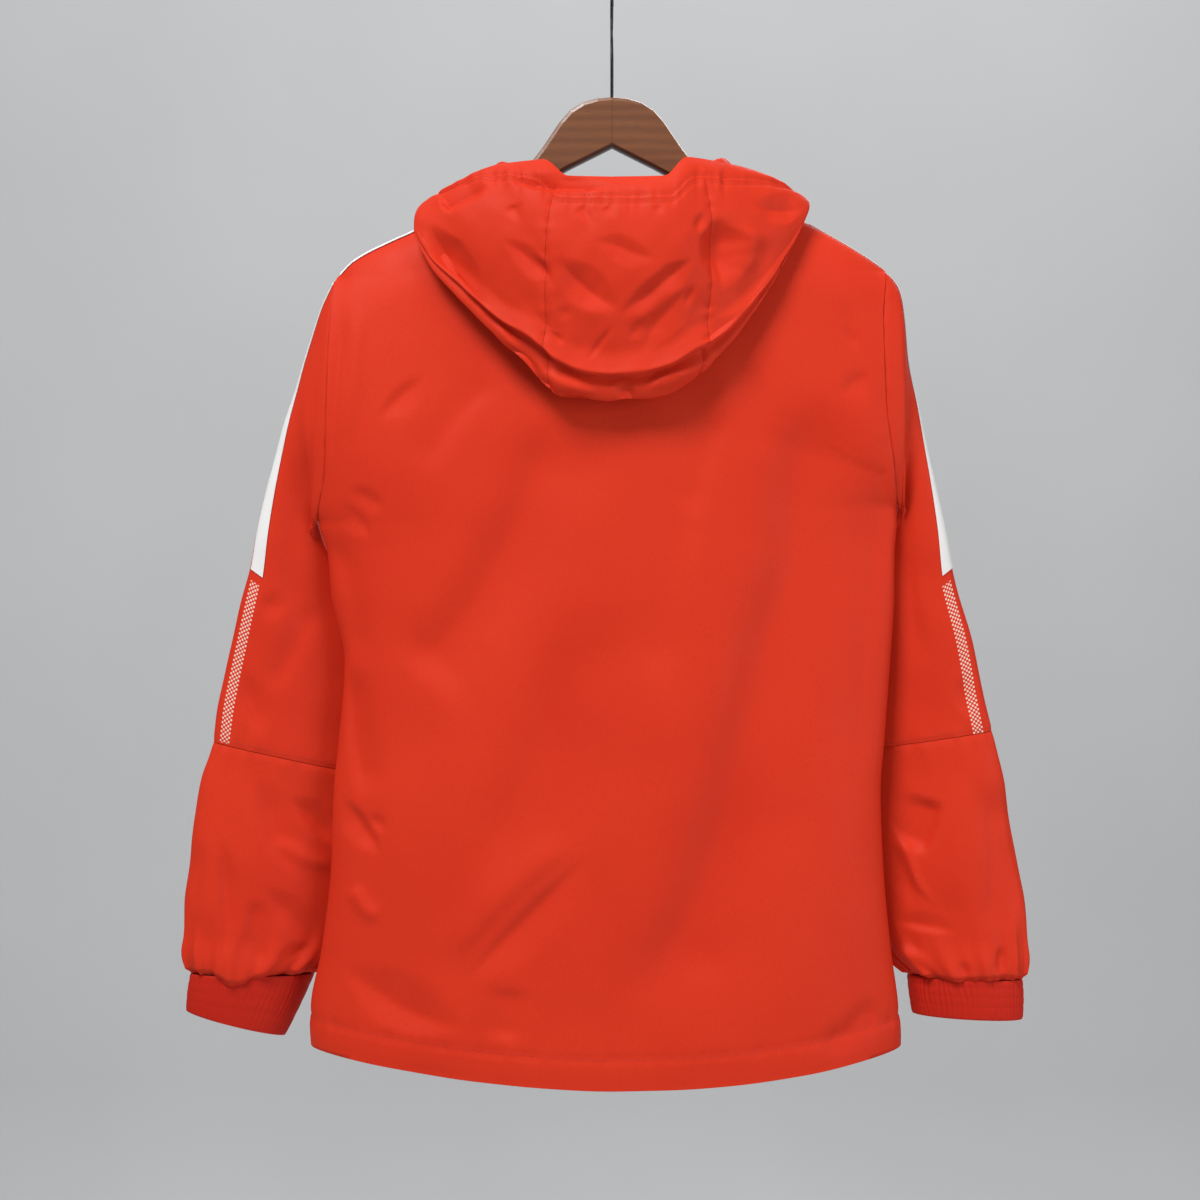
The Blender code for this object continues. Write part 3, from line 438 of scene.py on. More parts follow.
def hangerWood():
    material, shader = newMaterial("walnutVarnish", wood["light"])
    spot = addNode(shader, "TexCoord", {}).outputs["Object"]
    stretched = {"Vector": spot, "Scale": (9, 60, 60), "Rotation": (0, math.radians(8), 0)}
    spread = addNode(shader, "Mapping", stretched).outputs["Vector"]
    rings = waveNode(spread, "Z", {"Scale": 0.55, "Distortion": 5.0, "Detail": 3.0})
    warp = mathNode("MULTIPLY", noiseNode(spread, 1.4, 6, 0.6), 0.6)
    share = mathNode("ADD", mathNode("MULTIPLY", rings, 0.3), warp)
    colour = mixNode(rangeNode(share, 0.25, 0.85, 0, 1), wood["light"], wood["deep"])
    fibre = noiseNode(spread, 14, 2)
    colour = mixNode(rangeNode(fibre, 0.5, 0.75, 0, 0.35), colour, wood["fibre"])
    split = addNode(shader, "SeparateXYZ", {"Vector": spot}).outputs
    fall = mathNode("MULTIPLY", mathNode("ABSOLUTE", split["X"]), wood["fall"])
    height = mathNode("ADD", mathNode("ADD", split["Z"], fall), -wood["foot"])
    # painted shade: a dark band along the arms' lower edges stands for the undersides in shadow
    colour = mixNode(rangeNode(height, *wood["paintedShadeUpTo"], 0.85, 0), colour, wood["paintedUndersideShade"])
    finish = {
        "Base Color": colour,
        "Roughness": rangeNode(fibre, 0.3, 0.7, wood["rough"] - 0.05, wood["rough"] + 0.1),
        "Normal": bumpNode(fibre, 0.12, 0.0002),
        "Coat Weight": 0.25,
        "Coat Roughness": 0.3,
    }
    feedAll(shader, finish)
    return material


def rubbedMetal(name, colour, bare, wear, rough, metal):
    # bare is the colour where the finish is worn away
    material, shader = newMaterial(name, colour)
    spot = addNode(shader, "TexCoord", {}).outputs["Object"]
    spread = addNode(shader, "Mapping", {"Vector": spot, "Scale": (900, 900, 120)})
    brushed = noiseNode(spread.outputs["Vector"], 1, 3)
    worn = rangeNode(noiseNode(spot, 160, 4), 0.52, 0.72, 0, wear)
    finish = {
        "Base Color": mixNode(worn, colour, bare),
        "Roughness": rangeNode(brushed, 0.3, 0.7, rough - 0.06, rough + 0.08),
        "Normal": bumpNode(brushed, 0.15, 0.00004),
        "Metallic": metal,
    }
    feedAll(shader, finish)
    return material


walnut = hangerWood()
blackWire = rubbedMetal(
    "blackWire", (0.012, 0.012, 0.014), (0.06, 0.06, 0.065), wear=0.5, rough=0.36, metal=0.6
)
satinZipMetal = rubbedMetal(
    "satinZipMetal", (0.42, 0.42, 0.43), (0.62, 0.62, 0.61), wear=0.8, rough=0.32, metal=1.0
)
for material, nodes in (
    (walnut, ("hanger_left", "hanger_right")),
    (blackWire, ("hanger_hook",)),
    (satinZipMetal, ("zip_slider", "zip_pull")),
):
    for node in nodes:
        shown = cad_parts[node].data.materials
        shown.clear()
        shown.append(material)
print("materials made")

# the glue that fills the mitre between the hanger's arms
glueLine = {"wide": 0.7, "deep": 12.2, "low": -133.4, "high": -93.3}


def makeGlueLine():
    bpy.ops.object.select_all(action="DESELECT")
    bpy.ops.mesh.primitive_cube_add(size=1)
    glue = bpy.context.object
    glue.name = glue.data.name = "glueLine"
    low, high = glueLine["low"], glueLine["high"]
    for vertex in glue.data.vertices:
        x, y, z = vertex.co
        height = (low + high) / 2 + z * (high - low)
        vertex.co = (x * glueLine["wide"] * mm, y * glueLine["deep"] * mm, height * mm)
    glue.data.materials.append(walnut)
    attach(glue, "garment")


makeGlueLine()

# the body's edges and depths at each height: z, left, right, back, front
bodyShape = np.array([
    (-236, -225, 224.0, 23, 23),
    (-280, -229, 220.0, 25, 25),
    (-340, -231, 221.5, 28, 29),
    (-400, -233, 229.5, 31, 32),
    (-441, -240, 233.5, 33, 34),
    (-466, -233, 231.6, 34, 35),
    (-500, -230, 231.3, 35, 36),
    (-555, -219, 228.0, 36, 37),
    (-620, -224, 223.2, 37, 38),
    (-660, -228, 220.2, 38, 39),
    (-720, -230, 222.3, 39, 40),
    (-790, -238, 228.6, 40, 42),
    (-839, -247, 235.0, 41, 43),
    (-872, -246, 236.5, 42, 44),
])
# the shoulders' ridge from left to right: x z
shoulderRidge = np.array([
    (-226, -241), (-210.7, -226), (-178.8, -209.5), (-163, -202.5), (-120, -177), (-85, -153), (0, -98),
    (85, -150), (120, -172), (163, -197.5), (178.8, -206), (195.2, -215.5), (211.6, -226), (225, -235.5),
])
body = {
    "underarm": {"left": -441, "right": -428},
    "shoulderTip": {"left": -241, "right": -235.5},
    "armholeDepth": 23,
    "neckHalf": 85,
    "napeDrop": 32,
    "throatDrop": 90,
    "hemSide": -869,
    "hemFall": {"back": 29, "front": 16},
    "hemCurve": {"back": (1.7, 2.2), "front": (2.2, 2.2)},
    "hemTurn": 25,
    "zipHalf": 4.4,
    # round sizes that turn a share of a panel into a distance from its edges
    "half": 230,
    "frontHalf": 225,
    "upperHeight": 190,
    "middleUnderarm": -435,
    "far": 99,
    # each sewn line: how deep it draws the cloth in, and how wide
    "hemDip": (0.7, 2.2),
    "sideDip": (0.55, 5),
    "zipDip": (0.35, 1.4),
    "zipStitch": 6,
    "backColumns": 200,
    "frontColumns": 78,
    "rows": 210,
    "lowShare": 0.62,
    "turnRows": 8,
}
# folds and creases, placed as the photograph shows them; the broad ones come first
backCreases = (
    fold(
        9.0, (52, 25), (187, -340), (161, -381), (154, -431), (151, -472), (129, -545),
        (107, -635), (87, -717), (49, -800), (15, -849), ends=(0.1, 0.15),
    ),
    fold(7.0, (40, 21), (-42, -350), (-75, -439), (-120, -521), (-166, -567), ends=(0.2, 0.12)),
    fold(2.8, (14, 30), (64, -398), (46, -504), (35, -586)),
    fold(3.6, (44, 22), (-16, -496), (-41, -586), (-74, -668), (-115, -750)),
    fold(3.6, (12, 30), (222, -365), (215, -465), (208, -542), (202, -611), (195, -676)),
    fold(2.6, (12, 24), (90, -342), (72, -390), (62, -439)),
    fold(2.2, (10, 16), (-92, -318), (-128, -352), (-160, -402)),
    fold(1.8, (12, 14), (98, -303), (118, -340), (122, -392)),
    sharpFold(4.0, (15, 5), (-16, -710), (-67, -763), (-127, -822)),
    fold(-2.8, (9, 18), (-30, -697), (-86, -745), (-141, -804)),
    sharpFold(5.5, (17, 11), (-224, -802), (-168, -842), (-117, -858)),
    fold(3.0, (13, 9), (220, -832), (195, -857), (166, -873)),
    fold(3.2, (12, 16), (-82, -820), (-88, -869)),
    sharpFold(2.6, (10, 3.5), (-152, -318), (-175, -338), (-194, -358)),
    sharpFold(2.4, (4, 9), (-218, -411), (-200, -420), (-183, -431)),
    sharpFold(2.2, (4, 8), (-222, -424), (-208, -438), (-196, -455)),
    fold(2.2, (12, 8), (-228, -450), (-213, -500), (-206, -560)),
    fold(3.4, (16, 6), (-217, -558), (-210, -619), (-202, -670)),
    sharpFold(4.4, (4.5, 9), (-222, -665), (-205, -690), (-188, -714)),
    sharpFold(2.6, (5, 3), (-202, -681), (-184, -694)),
    fold(-2.6, (6, 6), (-213, -738), (-205, -754), (-190, -767)),
    fold(1.8, (5, 6), (-219, -258), (-225, -307), (-231, -365), (-232, -400)),
    fold(-1.4, (6, 7), (-207, -262), (-211, -320), (-219, -378)),
    sharpFold(2.0, (5, 9), (185, -338), (200, -325), (214, -318)),
    sharpFold(1.4, (4, 4), (188, -276), (196, -290), (203, -301)),
    fold(1.6, (7, 10), (190, -250), (202, -300), (209, -352)),
    fold(-1.6, (20, 26), (72, -800), (88, -893)),
)
frontCreases = (
    fold(5.0, (22, 38), (-150, -330), (-118, -440), (-60, -560)),
    fold(5.5, (34, 24), (140, -320), (118, -450), (70, -590)),
    fold(5.0, (28, 38), (-120, -620), (-144, -730), (-150, -850)),
    fold(4.5, (32, 26), (95, -640), (112, -750), (150, -860)),
    sharpFold(2.6, (6, 11), (-30, -300), (-60, -330), (-88, -372)),
    sharpFold(2.6, (6, 11), (28, -292), (60, -325), (80, -376)),
    sharpFold(2.8, (6, 12), (-216, -440), (-180, -470), (-150, -520)),
    sharpFold(2.8, (6, 12), (214, -432), (180, -465), (146, -520)),
    fold(2.4, (14, 20), (-60, -560), (-96, -640), (-110, -740)),
    fold(2.4, (14, 20), (52, -600), (78, -680), (84, -790)),
    sharpFold(3.2, (9, 18), (-205, -740), (-160, -800), (-90, -838)),
    fold(2.4, (9, 14), (190, -690), (172, -770), (168, -850)),
    fold(-1.2, (7, 12), (-16, -420), (-22, -520), (-16, -640)),
    fold(-1.2, (7, 12), (18, -500), (24, -620), (18, -740)),
)


def ridgeZ(x):
    return smoothCurve(shoulderRidge[:, 0], shoulderRidge[:, 1], x)


def edgeX(z, side):
    return smoothCurve(bodyShape[:, 0], bodyShape[:, 1 if side == "left" else 2], z)


def bySide(x, left, right):
    return np.where(x < 0, left, right)


def armholeY(z, side):
    low, high = body["underarm"][side], body["shoulderTip"][side]
    s = np.clip((z - low) / (high - low), 0, 1)
    return body["armholeDepth"] * np.sqrt(np.clip(1 - (2 * s - 1) ** 2, 0, 1))


def bodyY(x, z, face):
    depth = smoothCurve(bodyShape[:, 0], bodyShape[:, 3 if face == "back" else 4], z)
    fall = np.clip((ridgeZ(x) - z) / 60, 0, 1)
    crown = depth * np.sqrt(np.clip(1 - (1 - fall) ** 2, 0, 1))
    u = np.clip(np.abs(x / bySide(x, edgeX(z, "left"), edgeX(z, "right"))), 0, 1)
    armhole = bySide(x, armholeY(z, "left"), armholeY(z, "right"))
    share = u ** ((2.7 if face == "back" else 2) + 7 * smoothStep(-461, -300, z))
    return np.sqrt(armhole**2 * share + crown**2 * (1 - share))


def hemZ(u, face):
    left, right = body["hemCurve"][face]
    return body["hemSide"] - body["hemFall"][face] * (1 - np.abs(u) ** bySide(u, left, right))


def neckZ(x, face):
    half, drop = body["neckHalf"], body["napeDrop" if face == "back" else "throatDrop"]
    across = np.clip((x / half + 1) / 2, 0, 1)
    side = ridgeZ(-half) * (1 - across) + ridgeZ(half) * across
    return side - drop * (1 - np.clip(np.abs(x) / half, 0, 1) ** 2.3)


def bodyPoints(u, level, face):
    # u from the left edge, -1, to the right, 1; level from the hem, 0, over the underarm, 1, to the top, 2
    underarm = bySide(u, body["underarm"]["left"], body["underarm"]["right"])
    tip = bySide(u, body["shoulderTip"]["left"], body["shoulderTip"]["right"])
    low = level <= 1
    below = body["hemSide"] + (underarm - body["hemSide"]) * level
    edge = np.where(low, below, underarm + (tip - underarm) * (level - 1))
    x = np.abs(u) * bySide(u, edgeX(edge, "left"), edgeX(edge, "right"))
    top = np.where(np.abs(x) >= body["neckHalf"], ridgeZ(x), neckZ(x, face))
    below = hemZ(u, face) * (1 - level) + underarm * level
    z = np.where(low, below, underarm * (2 - level) + top * (level - 1))
    y = bodyY(x, z, face) + seam / 2
    return np.stack([x, y if face == "front" else -y, z], axis=-1)


def bodyLevels(count):
    low = np.linspace(0, 1, round(count * body["lowShare"]))
    s = np.linspace(0, 1, count - len(low) + 1)[1:]
    return np.concatenate([low, 1 + 0.45 * s + 0.55 * np.sin(s * math.pi / 2)])


def edgeGrid(first, last, count):
    # columns closer together at the rounded sides
    s = np.linspace(math.asin(first), math.asin(last), count)
    return 0.55 * np.sin(s) + 0.45 * np.linspace(first, last, count)


def bodyPress(grid, u, level, face, creases):
    # how far in each point of a body panel is pressed
    x, z = grid[..., 0], grid[..., 2]
    fromSide = (1 - np.abs(u)) * body["half"]
    fromZip = np.abs(x) - body["zipHalf"] if face == "front" else np.full_like(x, body["far"])
    fromTop = np.minimum((2 - level) * body["upperHeight"], body["far"])
    hemLine = level * (body["middleUnderarm"] - hemZ(u, face)) - body["hemTurn"]
    soft = smoothStep(0, 10, fromSide) * smoothStep(0, 14, fromTop) * smoothStep(0, 6, fromZip)
    press = creaseDepth(creases, *(asSeen(grid) if face == "back" else (x, z))) * soft
    # slow unevenness of hanging cloth
    slow = unevenWave(x + 0.25 * z, 96, 1.7) * 0.6 + unevenWave(z - 0.4 * x, 150, 0.6) * 0.5
    press += slow * smoothStep(0, 40, fromSide) * smoothStep(0, 40, fromTop) * smoothStep(0, 30, fromZip)
    # the hem's stitched line with its puckers, the roll of its edge, and the side and zip seams
    dip, wide = body["hemDip"]
    pucker = unevenWave(x, 15, 2.0) * 0.35 + unevenWave(x, 37, 0.4) * 0.3
    press += (dip + pucker) * bell(hemLine, wide) + pucker * 0.8 * bell(hemLine, 5 * wide)
    press -= 0.45 * smoothStep(3, 9, body["hemTurn"] + hemLine) * (1 - smoothStep(-6, -1, hemLine))
    dip, wide = body["sideDip"]
    gather = unevenWave(z, 19, 1.2) * 0.5
    press += np.where(level > 1, (dip + gather) * bell(fromSide, wide) * soft, 0)
    dip, wide = body["zipDip"]
    press += (dip + unevenWave(z, 23, 3.0) * 0.25) * bell(fromZip - body["zipStitch"], wide)
    return press


def bodyPiece(name, face, first, last, columns, creases, node):
    outward = np.array((0, 1 if face == "front" else -1, 0))
    level, u = np.meshgrid(bodyLevels(body["rows"]), edgeGrid(first, last, columns), indexing="ij")
    grid = bodyPoints(u, level, face)
    for column, edge in ((0, first), (-1, last)):
        if abs(edge) < 0.5:
            grid[:, column, 0] = math.copysign(body["zipHalf"], edge)
    normals = facing(grid, outward)
    grid = grid - normals * bodyPress(grid, u, level, face, creases)[..., None]
    # the turned hem: up inside from the edge
    above, turns = grid[..., 2] - grid[0, :, 2], np.linspace(1, 0.1, body["turnRows"])
    inner = [pickLine(grid, above, s * body["hemTurn"]) - outward * 1.5 for s in turns]
    inner.append(grid[0] - outward * 0.7 - (0, 0, 0.35))
    makeCloth(name, np.concatenate([np.array(inner), grid]), outward, redCloth, node)
    return grid


backGrid = bodyPiece("backPanel", "back", -1, 1, body["backColumns"], backCreases, "back")
zipGap = body["zipHalf"] / body["frontHalf"]
frontGrids = {}
for side, ends in (("left", (-1, -zipGap)), ("right", (zipGap, 1))):
    name, node = f"frontPanel{side.title()}", f"front_{side}"
    frontGrids[side] = bodyPiece(name, "front", *ends, body["frontColumns"], frontCreases, node)
print("body panels made")

# each ring of a sleeve: outer end x y z, inner end x y z, depth before and behind their line
sleeveShape = {
    "left": np.array([
        (-234.0, 0, -256, -247, 7, -447, 25, 22),
        (-252.8, 0, -311, -244, 19, -461, 28, 20),
        (-263.5, 1, -346, -235, 32, -479, 30, 17),
        (-276.3, 2, -388, -217, 44, -501, 31, 16),
        (-288.6, 3, -436, -197, 52, -530, 31, 16),
        (-297.6, 4, -478, -185, 57, -558, 31, 17),
        (-311.5, 5, -536, -177, 59, -600, 30, 18),
        (-323.0, 6, -587, -177, 59, -634, 29, 19),
        (-328.5, 7, -621, -181, 58, -656, 28, 20),
        (-338.0, 8, -652, -188, 57, -684, 28, 22),
        (-343.7, 9, -685, -196, 55, -712, 28, 24),
        (-348.5, 10, -722, -204, 53, -742, 29, 26),
        (-352.5, 11, -757, -212, 50, -770, 30, 27),
        (-353.5, 12, -789, -226, 45, -796, 28, 26),
        (-347.6, 13, -812, -248, 36, -815, 22, 21),
        (-351.6, 14, -843, -272, 31, -866, 18, 18),
    ]),
    "right": np.array([
        (235.5, 0, -252, 240, 7, -434, 25, 22),
        (242.6, 0, -307, 238.5, 19, -449, 28, 20),
        (249.4, 1, -340, 230, 32, -469, 30, 17),
        (260.4, 2, -388, 214, 44, -494, 31, 16),
        (271.0, 3, -436, 195, 52, -525, 31, 16),
        (279.0, 4, -478, 184, 57, -554, 31, 17),
        (295.6, 5, -537, 177, 59, -595, 30, 18),
        (306.5, 6, -587, 177, 59, -622, 29, 19),
        (313.0, 7, -612, 180, 58, -634, 28, 20),
        (322.0, 8, -652, 188, 57, -668, 28, 22),
        (327.6, 9, -685, 196, 55, -700, 28, 24),
        (334.6, 10, -722, 204, 53, -734, 29, 26),
        (341.0, 11, -757, 212, 50, -766, 30, 27),
        (343.0, 12, -793, 226, 45, -796, 28, 26),
        (338.6, 13, -817, 247, 36, -816, 22, 21),
        (339.0, 14, -850, 251, 34, -848, 21, 21),
    ]),
}
sleeve = {
    "elbow": 9,
    "elbowGaps": (0.008, 0.006),
    "cuff": 15,
    "cuffGap": 0.01,
    "columns": 150,
    "upperRows": 96,
    "lowerRows": 90,
    "gathers": 12,
    "puff": 3.2,
    # the puffed lobe that hangs over the cuff: half width and middle round the sleeve, drop
    "overhang": {"left": (0.30, -1.25, 9.0), "right": (0.4, -1.6, 2.0)},
    "lobeOut": 1.8,
    # how far the sleeve keeps off the middle plane and off the body's front, and how that eases off
    "clear": 8,
    "overFront": 3,
    "ease": 1.2,
    # the armhole's seam allowance: how far towards the body and how far inwards
    "allowance": (6, 2.4),
    # each sewn line: how deep it draws the cloth in, and how wide, counted in rings
    "armholeDip": (1.2, 0.12),
    "elbowDip": (0.75, 0.1),
    # a round radius, for the length of the puckers
    "radius": 60,
}
sleeveCreases = {
    "left": (
        sharpFold(4.8, (14, 7), (-294, -645), (-276, -693), (-261, -737)),
        sharpFold(4.0, (9, 6), (-266, -664), (-240, -688), (-220, -708)),
        fold(-2.2, (6, 6), (-280, -700), (-250, -716), (-226, -724)),
        sharpFold(3.4, (9, 7), (-288, -738), (-262, -764), (-238, -792)),
        sharpFold(4.6, (8, 4), (-322, -692), (-318, -735), (-316, -770), (-320, -803)),
        sharpFold(2.8, (9, 4), (-289, -501), (-281, -510), (-273, -522)),
        sharpFold(3.4, (8, 5), (-304, -558), (-294, -594), (-287, -623)),
        fold(2.4, (9, 12), (-241, -504), (-262, -545), (-281, -582)),
        fold(2.2, (9, 12), (-256, -381), (-262, -471), (-256, -537)),
        fold(1.8, (6, 8), (-338, -700), (-342, -750), (-338, -790)),
        fold(2.8, (8, 6), (-292, -748), (-293, -782), (-286, -808)),
        sharpFold(2.6, (4, 6), (-246, -786), (-262, -796), (-276, -810)),
    ),
    "right": (
        sharpFold(-3.2, (3.2, 3.2), (221, -682), (241, -708), (251, -736), (270, -759)),
        fold(5.6, (6, 22), (265, -666), (257, -693), (248, -713), power=2.4),
        sharpFold(2.4, (4, 9), (225, -697), (238, -724), (250, -758)),
        sharpFold(2.8, (7, 3), (229, -767), (265, -773), (285, -778)),
        fold(-3.6, (4, 4), (234, -788), (254, -799), (265, -819)),
        fold(3.6, (16, 9), (312, -652), (315, -717), (310, -783)),
        sharpFold(3.6, (5, 3), (321, -786), (317, -801), (315, -814)),
        sharpFold(2.6, (4, 3), (284, -800), (290, -808), (292, -814)),
        fold(2.4, (8, 12), (239, -365), (240, -472), (258, -570)),
        fold(-2.0, (9, 12), (284, -640), (286, -700), (280, -760)),
        sharpFold(3.0, (8, 5), (295, -562), (288, -580), (293, -604)),
        fold(1.8, (6, 9), (326, -690), (330, -740), (322, -790)),
    ),
}
hiddenShift = {"shrink": 0.985, "inwards": 6, "up": 14}


def hiddenCreases(side):
    # the hidden side of a sleeve has the same creases, a little higher and farther in
    lean = hiddenShift["inwards"] * (1 if side == "left" else -1)
    moved = []
    for crease in sleeveCreases[side]:
        path = tuple((x * hiddenShift["shrink"] + lean, z + hiddenShift["up"]) for x, z in crease["path"])
        moved.append({**crease, "path": path})
    return moved


def sleeveRing(row, side, angles):
    outer, inner = row[0:3], row[3:6]
    centre, reach = (outer + inner) / 2, (outer - inner) / 2
    turn = -1 if side == "left" else 1
    down = unit(np.array([turn * reach[2], 0, -turn * reach[0]]))
    forward = unit(np.cross(down, reach))
    forward = -forward if forward[1] < 0 else forward
    depth = np.where(np.sin(angles) > 0, row[6], row[7])
    return centre + np.outer(np.cos(angles), reach) + np.outer(np.sin(angles) * depth, forward)


def armholeRing(side, angles):
    low, high = body["underarm"][side], body["shoulderTip"][side]
    z = (low + high) / 2 + (high - low) / 2 * np.cos(angles)
    y = armholeY(z, side) * np.sign(np.sin(angles))
    away = -1 if side == "left" else 1
    return np.stack([edgeX(z, side) + away * 2.2 * seam, y, z], axis=1)


def keepOffBody(points):
    # the sleeve lies on the front of the body below the underarm, clear of it
    x, y, z = points[..., 0], points[..., 1], points[..., 2]
    clear, ease = sleeve["clear"], sleeve["ease"]
    past = np.abs(x) - np.abs(bySide(x, edgeX(z, "left"), edgeX(z, "right")))
    above = np.maximum(z - bySide(x, body["underarm"]["left"], body["underarm"]["right"]) + 6, 0)
    front = bodyY(x, np.clip(z, -866, -236), "front")
    least = np.where(past > 0, clear - past * ease, np.maximum(front + sleeve["overFront"], clear))
    moved = points.copy()
    moved[..., 1] = np.maximum(y, least - above * ease)
    return moved


def sleeveGrid(side, first, last, rows):
    # from the ring counted first to the one counted last, the armhole being 0
    angles = np.linspace(-math.pi, math.pi, sleeve["columns"])
    rings = [keepOffBody(sleeveRing(row, side, angles)) for row in sleeveShape[side]]
    rings = np.array([armholeRing(side, angles), *rings])
    at = np.linspace(first, last, rows)
    grid = smoothCurve(np.arange(len(rings)), rings, at)
    grid[at > 1] = keepOffBody(grid[at > 1])
    grid[:, -1] = grid[:, 0]
    return grid, at, angles


def outwardOf(grid):
    row = grid.shape[0] // 2
    return grid[row, grid.shape[1] // 2] - grid[row].mean(axis=0)


def sleevePress(grid, normals, ring, turn, side):
    # how far in each point of a sleeve is pressed
    x, z = grid[..., 0], grid[..., 2]
    toBack = smoothStep(-0.1, 0.45, -normals[..., 1])
    toFront = smoothStep(-0.1, 0.45, normals[..., 1])
    press = creaseDepth(sleeveCreases[side], *asSeen(grid)) * toBack
    press = press + creaseDepth(hiddenCreases(side), x, z) * toFront
    press += unevenWave(z + 0.5 * x, 88, 2.2) * 0.5 * smoothStep(0, 1.5, ring)
    # puckers round the armhole and the elbow seam
    arc, fromElbow = turn * sleeve["radius"], ring - sleeve["elbow"]
    dip, wide = sleeve["armholeDip"]
    press += (dip + unevenWave(arc, 17, 1.1) * 0.4) * bell(ring, wide)
    dip, wide = sleeve["elbowDip"]
    press += (dip + unevenWave(arc, 16, 0.3) * 0.5) * bell(fromElbow, wide)
    press += unevenWave(arc, 23, 0.9) * 0.5 * bell(fromElbow, 5 * wide)
    # the cloth gathered into the cuff puffs out above it
    cuffAt, gathers, puff = sleeve["cuff"], sleeve["gathers"], sleeve["puff"]
    near = smoothStep(cuffAt - 2.6, cuffAt - 0.35, ring)
    pleats = np.sin(gathers * turn + 1.4 * np.sin(2 * turn + 0.7) + 0.8 * np.sin(3 * turn))
    fine = np.sin(2.3 * gathers * turn + 2.0 * np.sin(3 * turn + 1.9))
    press += near * (pleats * 1.5 + fine * 0.8 * near)
    press -= puff * smoothStep(cuffAt - 1.4, cuffAt - 0.4, ring)
    press += (puff + 1.6) * smoothStep(cuffAt - 0.25, cuffAt, ring)
    return press


def creaseSleeve(grid, at, angles, side):
    normals = facing(grid, outwardOf(grid), True)
    ring, turn = np.meshgrid(at, angles, indexing="ij")
    moved = grid - normals * sleevePress(grid, normals, ring, turn, side)[..., None]
    wide, middle, drop = sleeve["overhang"][side]
    lobe = bell(turn - middle, wide) * smoothStep(sleeve["cuff"] - 1.0, sleeve["cuff"] - 0.1, ring)
    moved[..., 2] -= drop * lobe
    moved += normals * (sleeve["lobeOut"] * lobe)[..., None]
    moved[:, -1] = moved[:, 0]
    return moved, normals


# where the dotted band runs on the upper sleeve: degrees round it at its top and at the elbow, and
# the ring it starts at
bandPlace = {"left": (-23, -25.5, 6.15), "right": (-24, -29.5, 6.15)}


def bandMap(grid, at, angles, side):
    top, low, first = bandPlace[side]
    run = runAlong(grid.transpose(1, 0, 2)).T
    share = np.clip((at - first) / (sleeve["elbow"] - first), 0, 1)
    middle = np.radians(top + (low - top) * share)
    across = np.array([run[i] - np.interp(middle[i], angles, run[i]) for i in range(len(at))])
    down = runAlong(np.array([pointsAt(middle[i], angles, grid[i]) for i in range(len(at))]))
    down -= np.interp(first, at, down)
    return np.stack([across, np.broadcast_to(down[:, None], across.shape)], axis=-1) * mm


def turnedIn(grid, side):
    # the allowance of the armhole seam, inside the body panels
    first = grid[0]
    sideways, inwards = sleeve["allowance"]
    toBody = np.array((sideways if side == "left" else -sideways, 0, 0))
    middle = first.mean(axis=0) * (0, 1, 1)
    toMiddle = unit((first * (0, 1, 1) - middle) * -1) * inwards
    return np.concatenate([[first + (toBody + toMiddle) * s for s in (1.0, 0.5)], grid])


sleeveGrids, sleeveNormals = {}, {}
upperEnd = sleeve["elbow"] - sleeve["elbowGaps"][0]
lowerEnds = (sleeve["elbow"] + sleeve["elbowGaps"][1], sleeve["cuff"] - sleeve["cuffGap"])
for side in sides:
    upper, at, angles = sleeveGrid(side, 0, upperEnd, sleeve["upperRows"])
    upper, normals = creaseSleeve(upper, at, angles, side)
    sleeveGrids[side], sleeveNormals[side] = upper, normals
    band = bandMap(upper, at, angles, side)
    makeCloth(
        f"upperSleeve{side.title()}",
        turnedIn(upper, side),
        outwardOf(upper),
        redBandCloth,
        f"sleeve_upper_{side}",
        closed=True,
        bandAt=np.concatenate([band[:1], band[:1], band]),
    )
    lower, at, angles = sleeveGrid(side, *lowerEnds, sleeve["lowerRows"])
    lower, _ = creaseSleeve(lower, at, angles, side)
    name, out = f"lowerSleeve{side.title()}", outwardOf(lower)
    makeCloth(name, lower, out, redCloth, f"sleeve_lower_{side}", closed=True)
print("sleeves made")

# elastic cuffs: fine uneven ribs, pinched by the rows of elastic thread
cuff = {
    "columns": 320,
    "rows": 32,
    "ribs": 52,
    "ribHeight": {"left": 0.32, "right": 0.62},
    "elasticRows": (0.2, 0.44, 0.68),
    "elasticWidth": 0.035,
    "bulge": 0.7,
    "turn": 1.9,
    "turnRows": (-6, -14, -22),
}


def cuffLift(s, turn, side):
    # how far out each point of a cuff stands; s runs from the sleeve, 0, to the end, 1
    sway = 0.5 * np.sin(3 * turn + 5 * s) + 0.6 * np.sin(7 * turn - 3 * s) + 0.5 * np.sin(11 * turn + 2)
    ribs = np.abs(np.sin(cuff["ribs"] / 2 * turn + sway)) ** 0.7
    ribs = ribs + 0.45 * np.sin(round(cuff["ribs"] * 1.27) * turn + 2.0 * sway)
    pinch = sum(bell(s - row, cuff["elasticWidth"]) for row in cuff["elasticRows"])
    patchy = 0.65 + 0.35 * np.sin(2.0 * turn + 0.8) * np.sin(5.0 * turn + 3.0 * s)
    lift = cuff["ribHeight"][side] * ribs * patchy * (1 - 0.3 * pinch) * (1 - smoothStep(0.93, 1.0, s))
    lift = (lift - 0.12 * pinch) * smoothStep(0, 0.05, s) - 0.4 * (1 - smoothStep(0, 0.06, s))
    return lift + cuff["bulge"] * np.sin(math.pi * s)


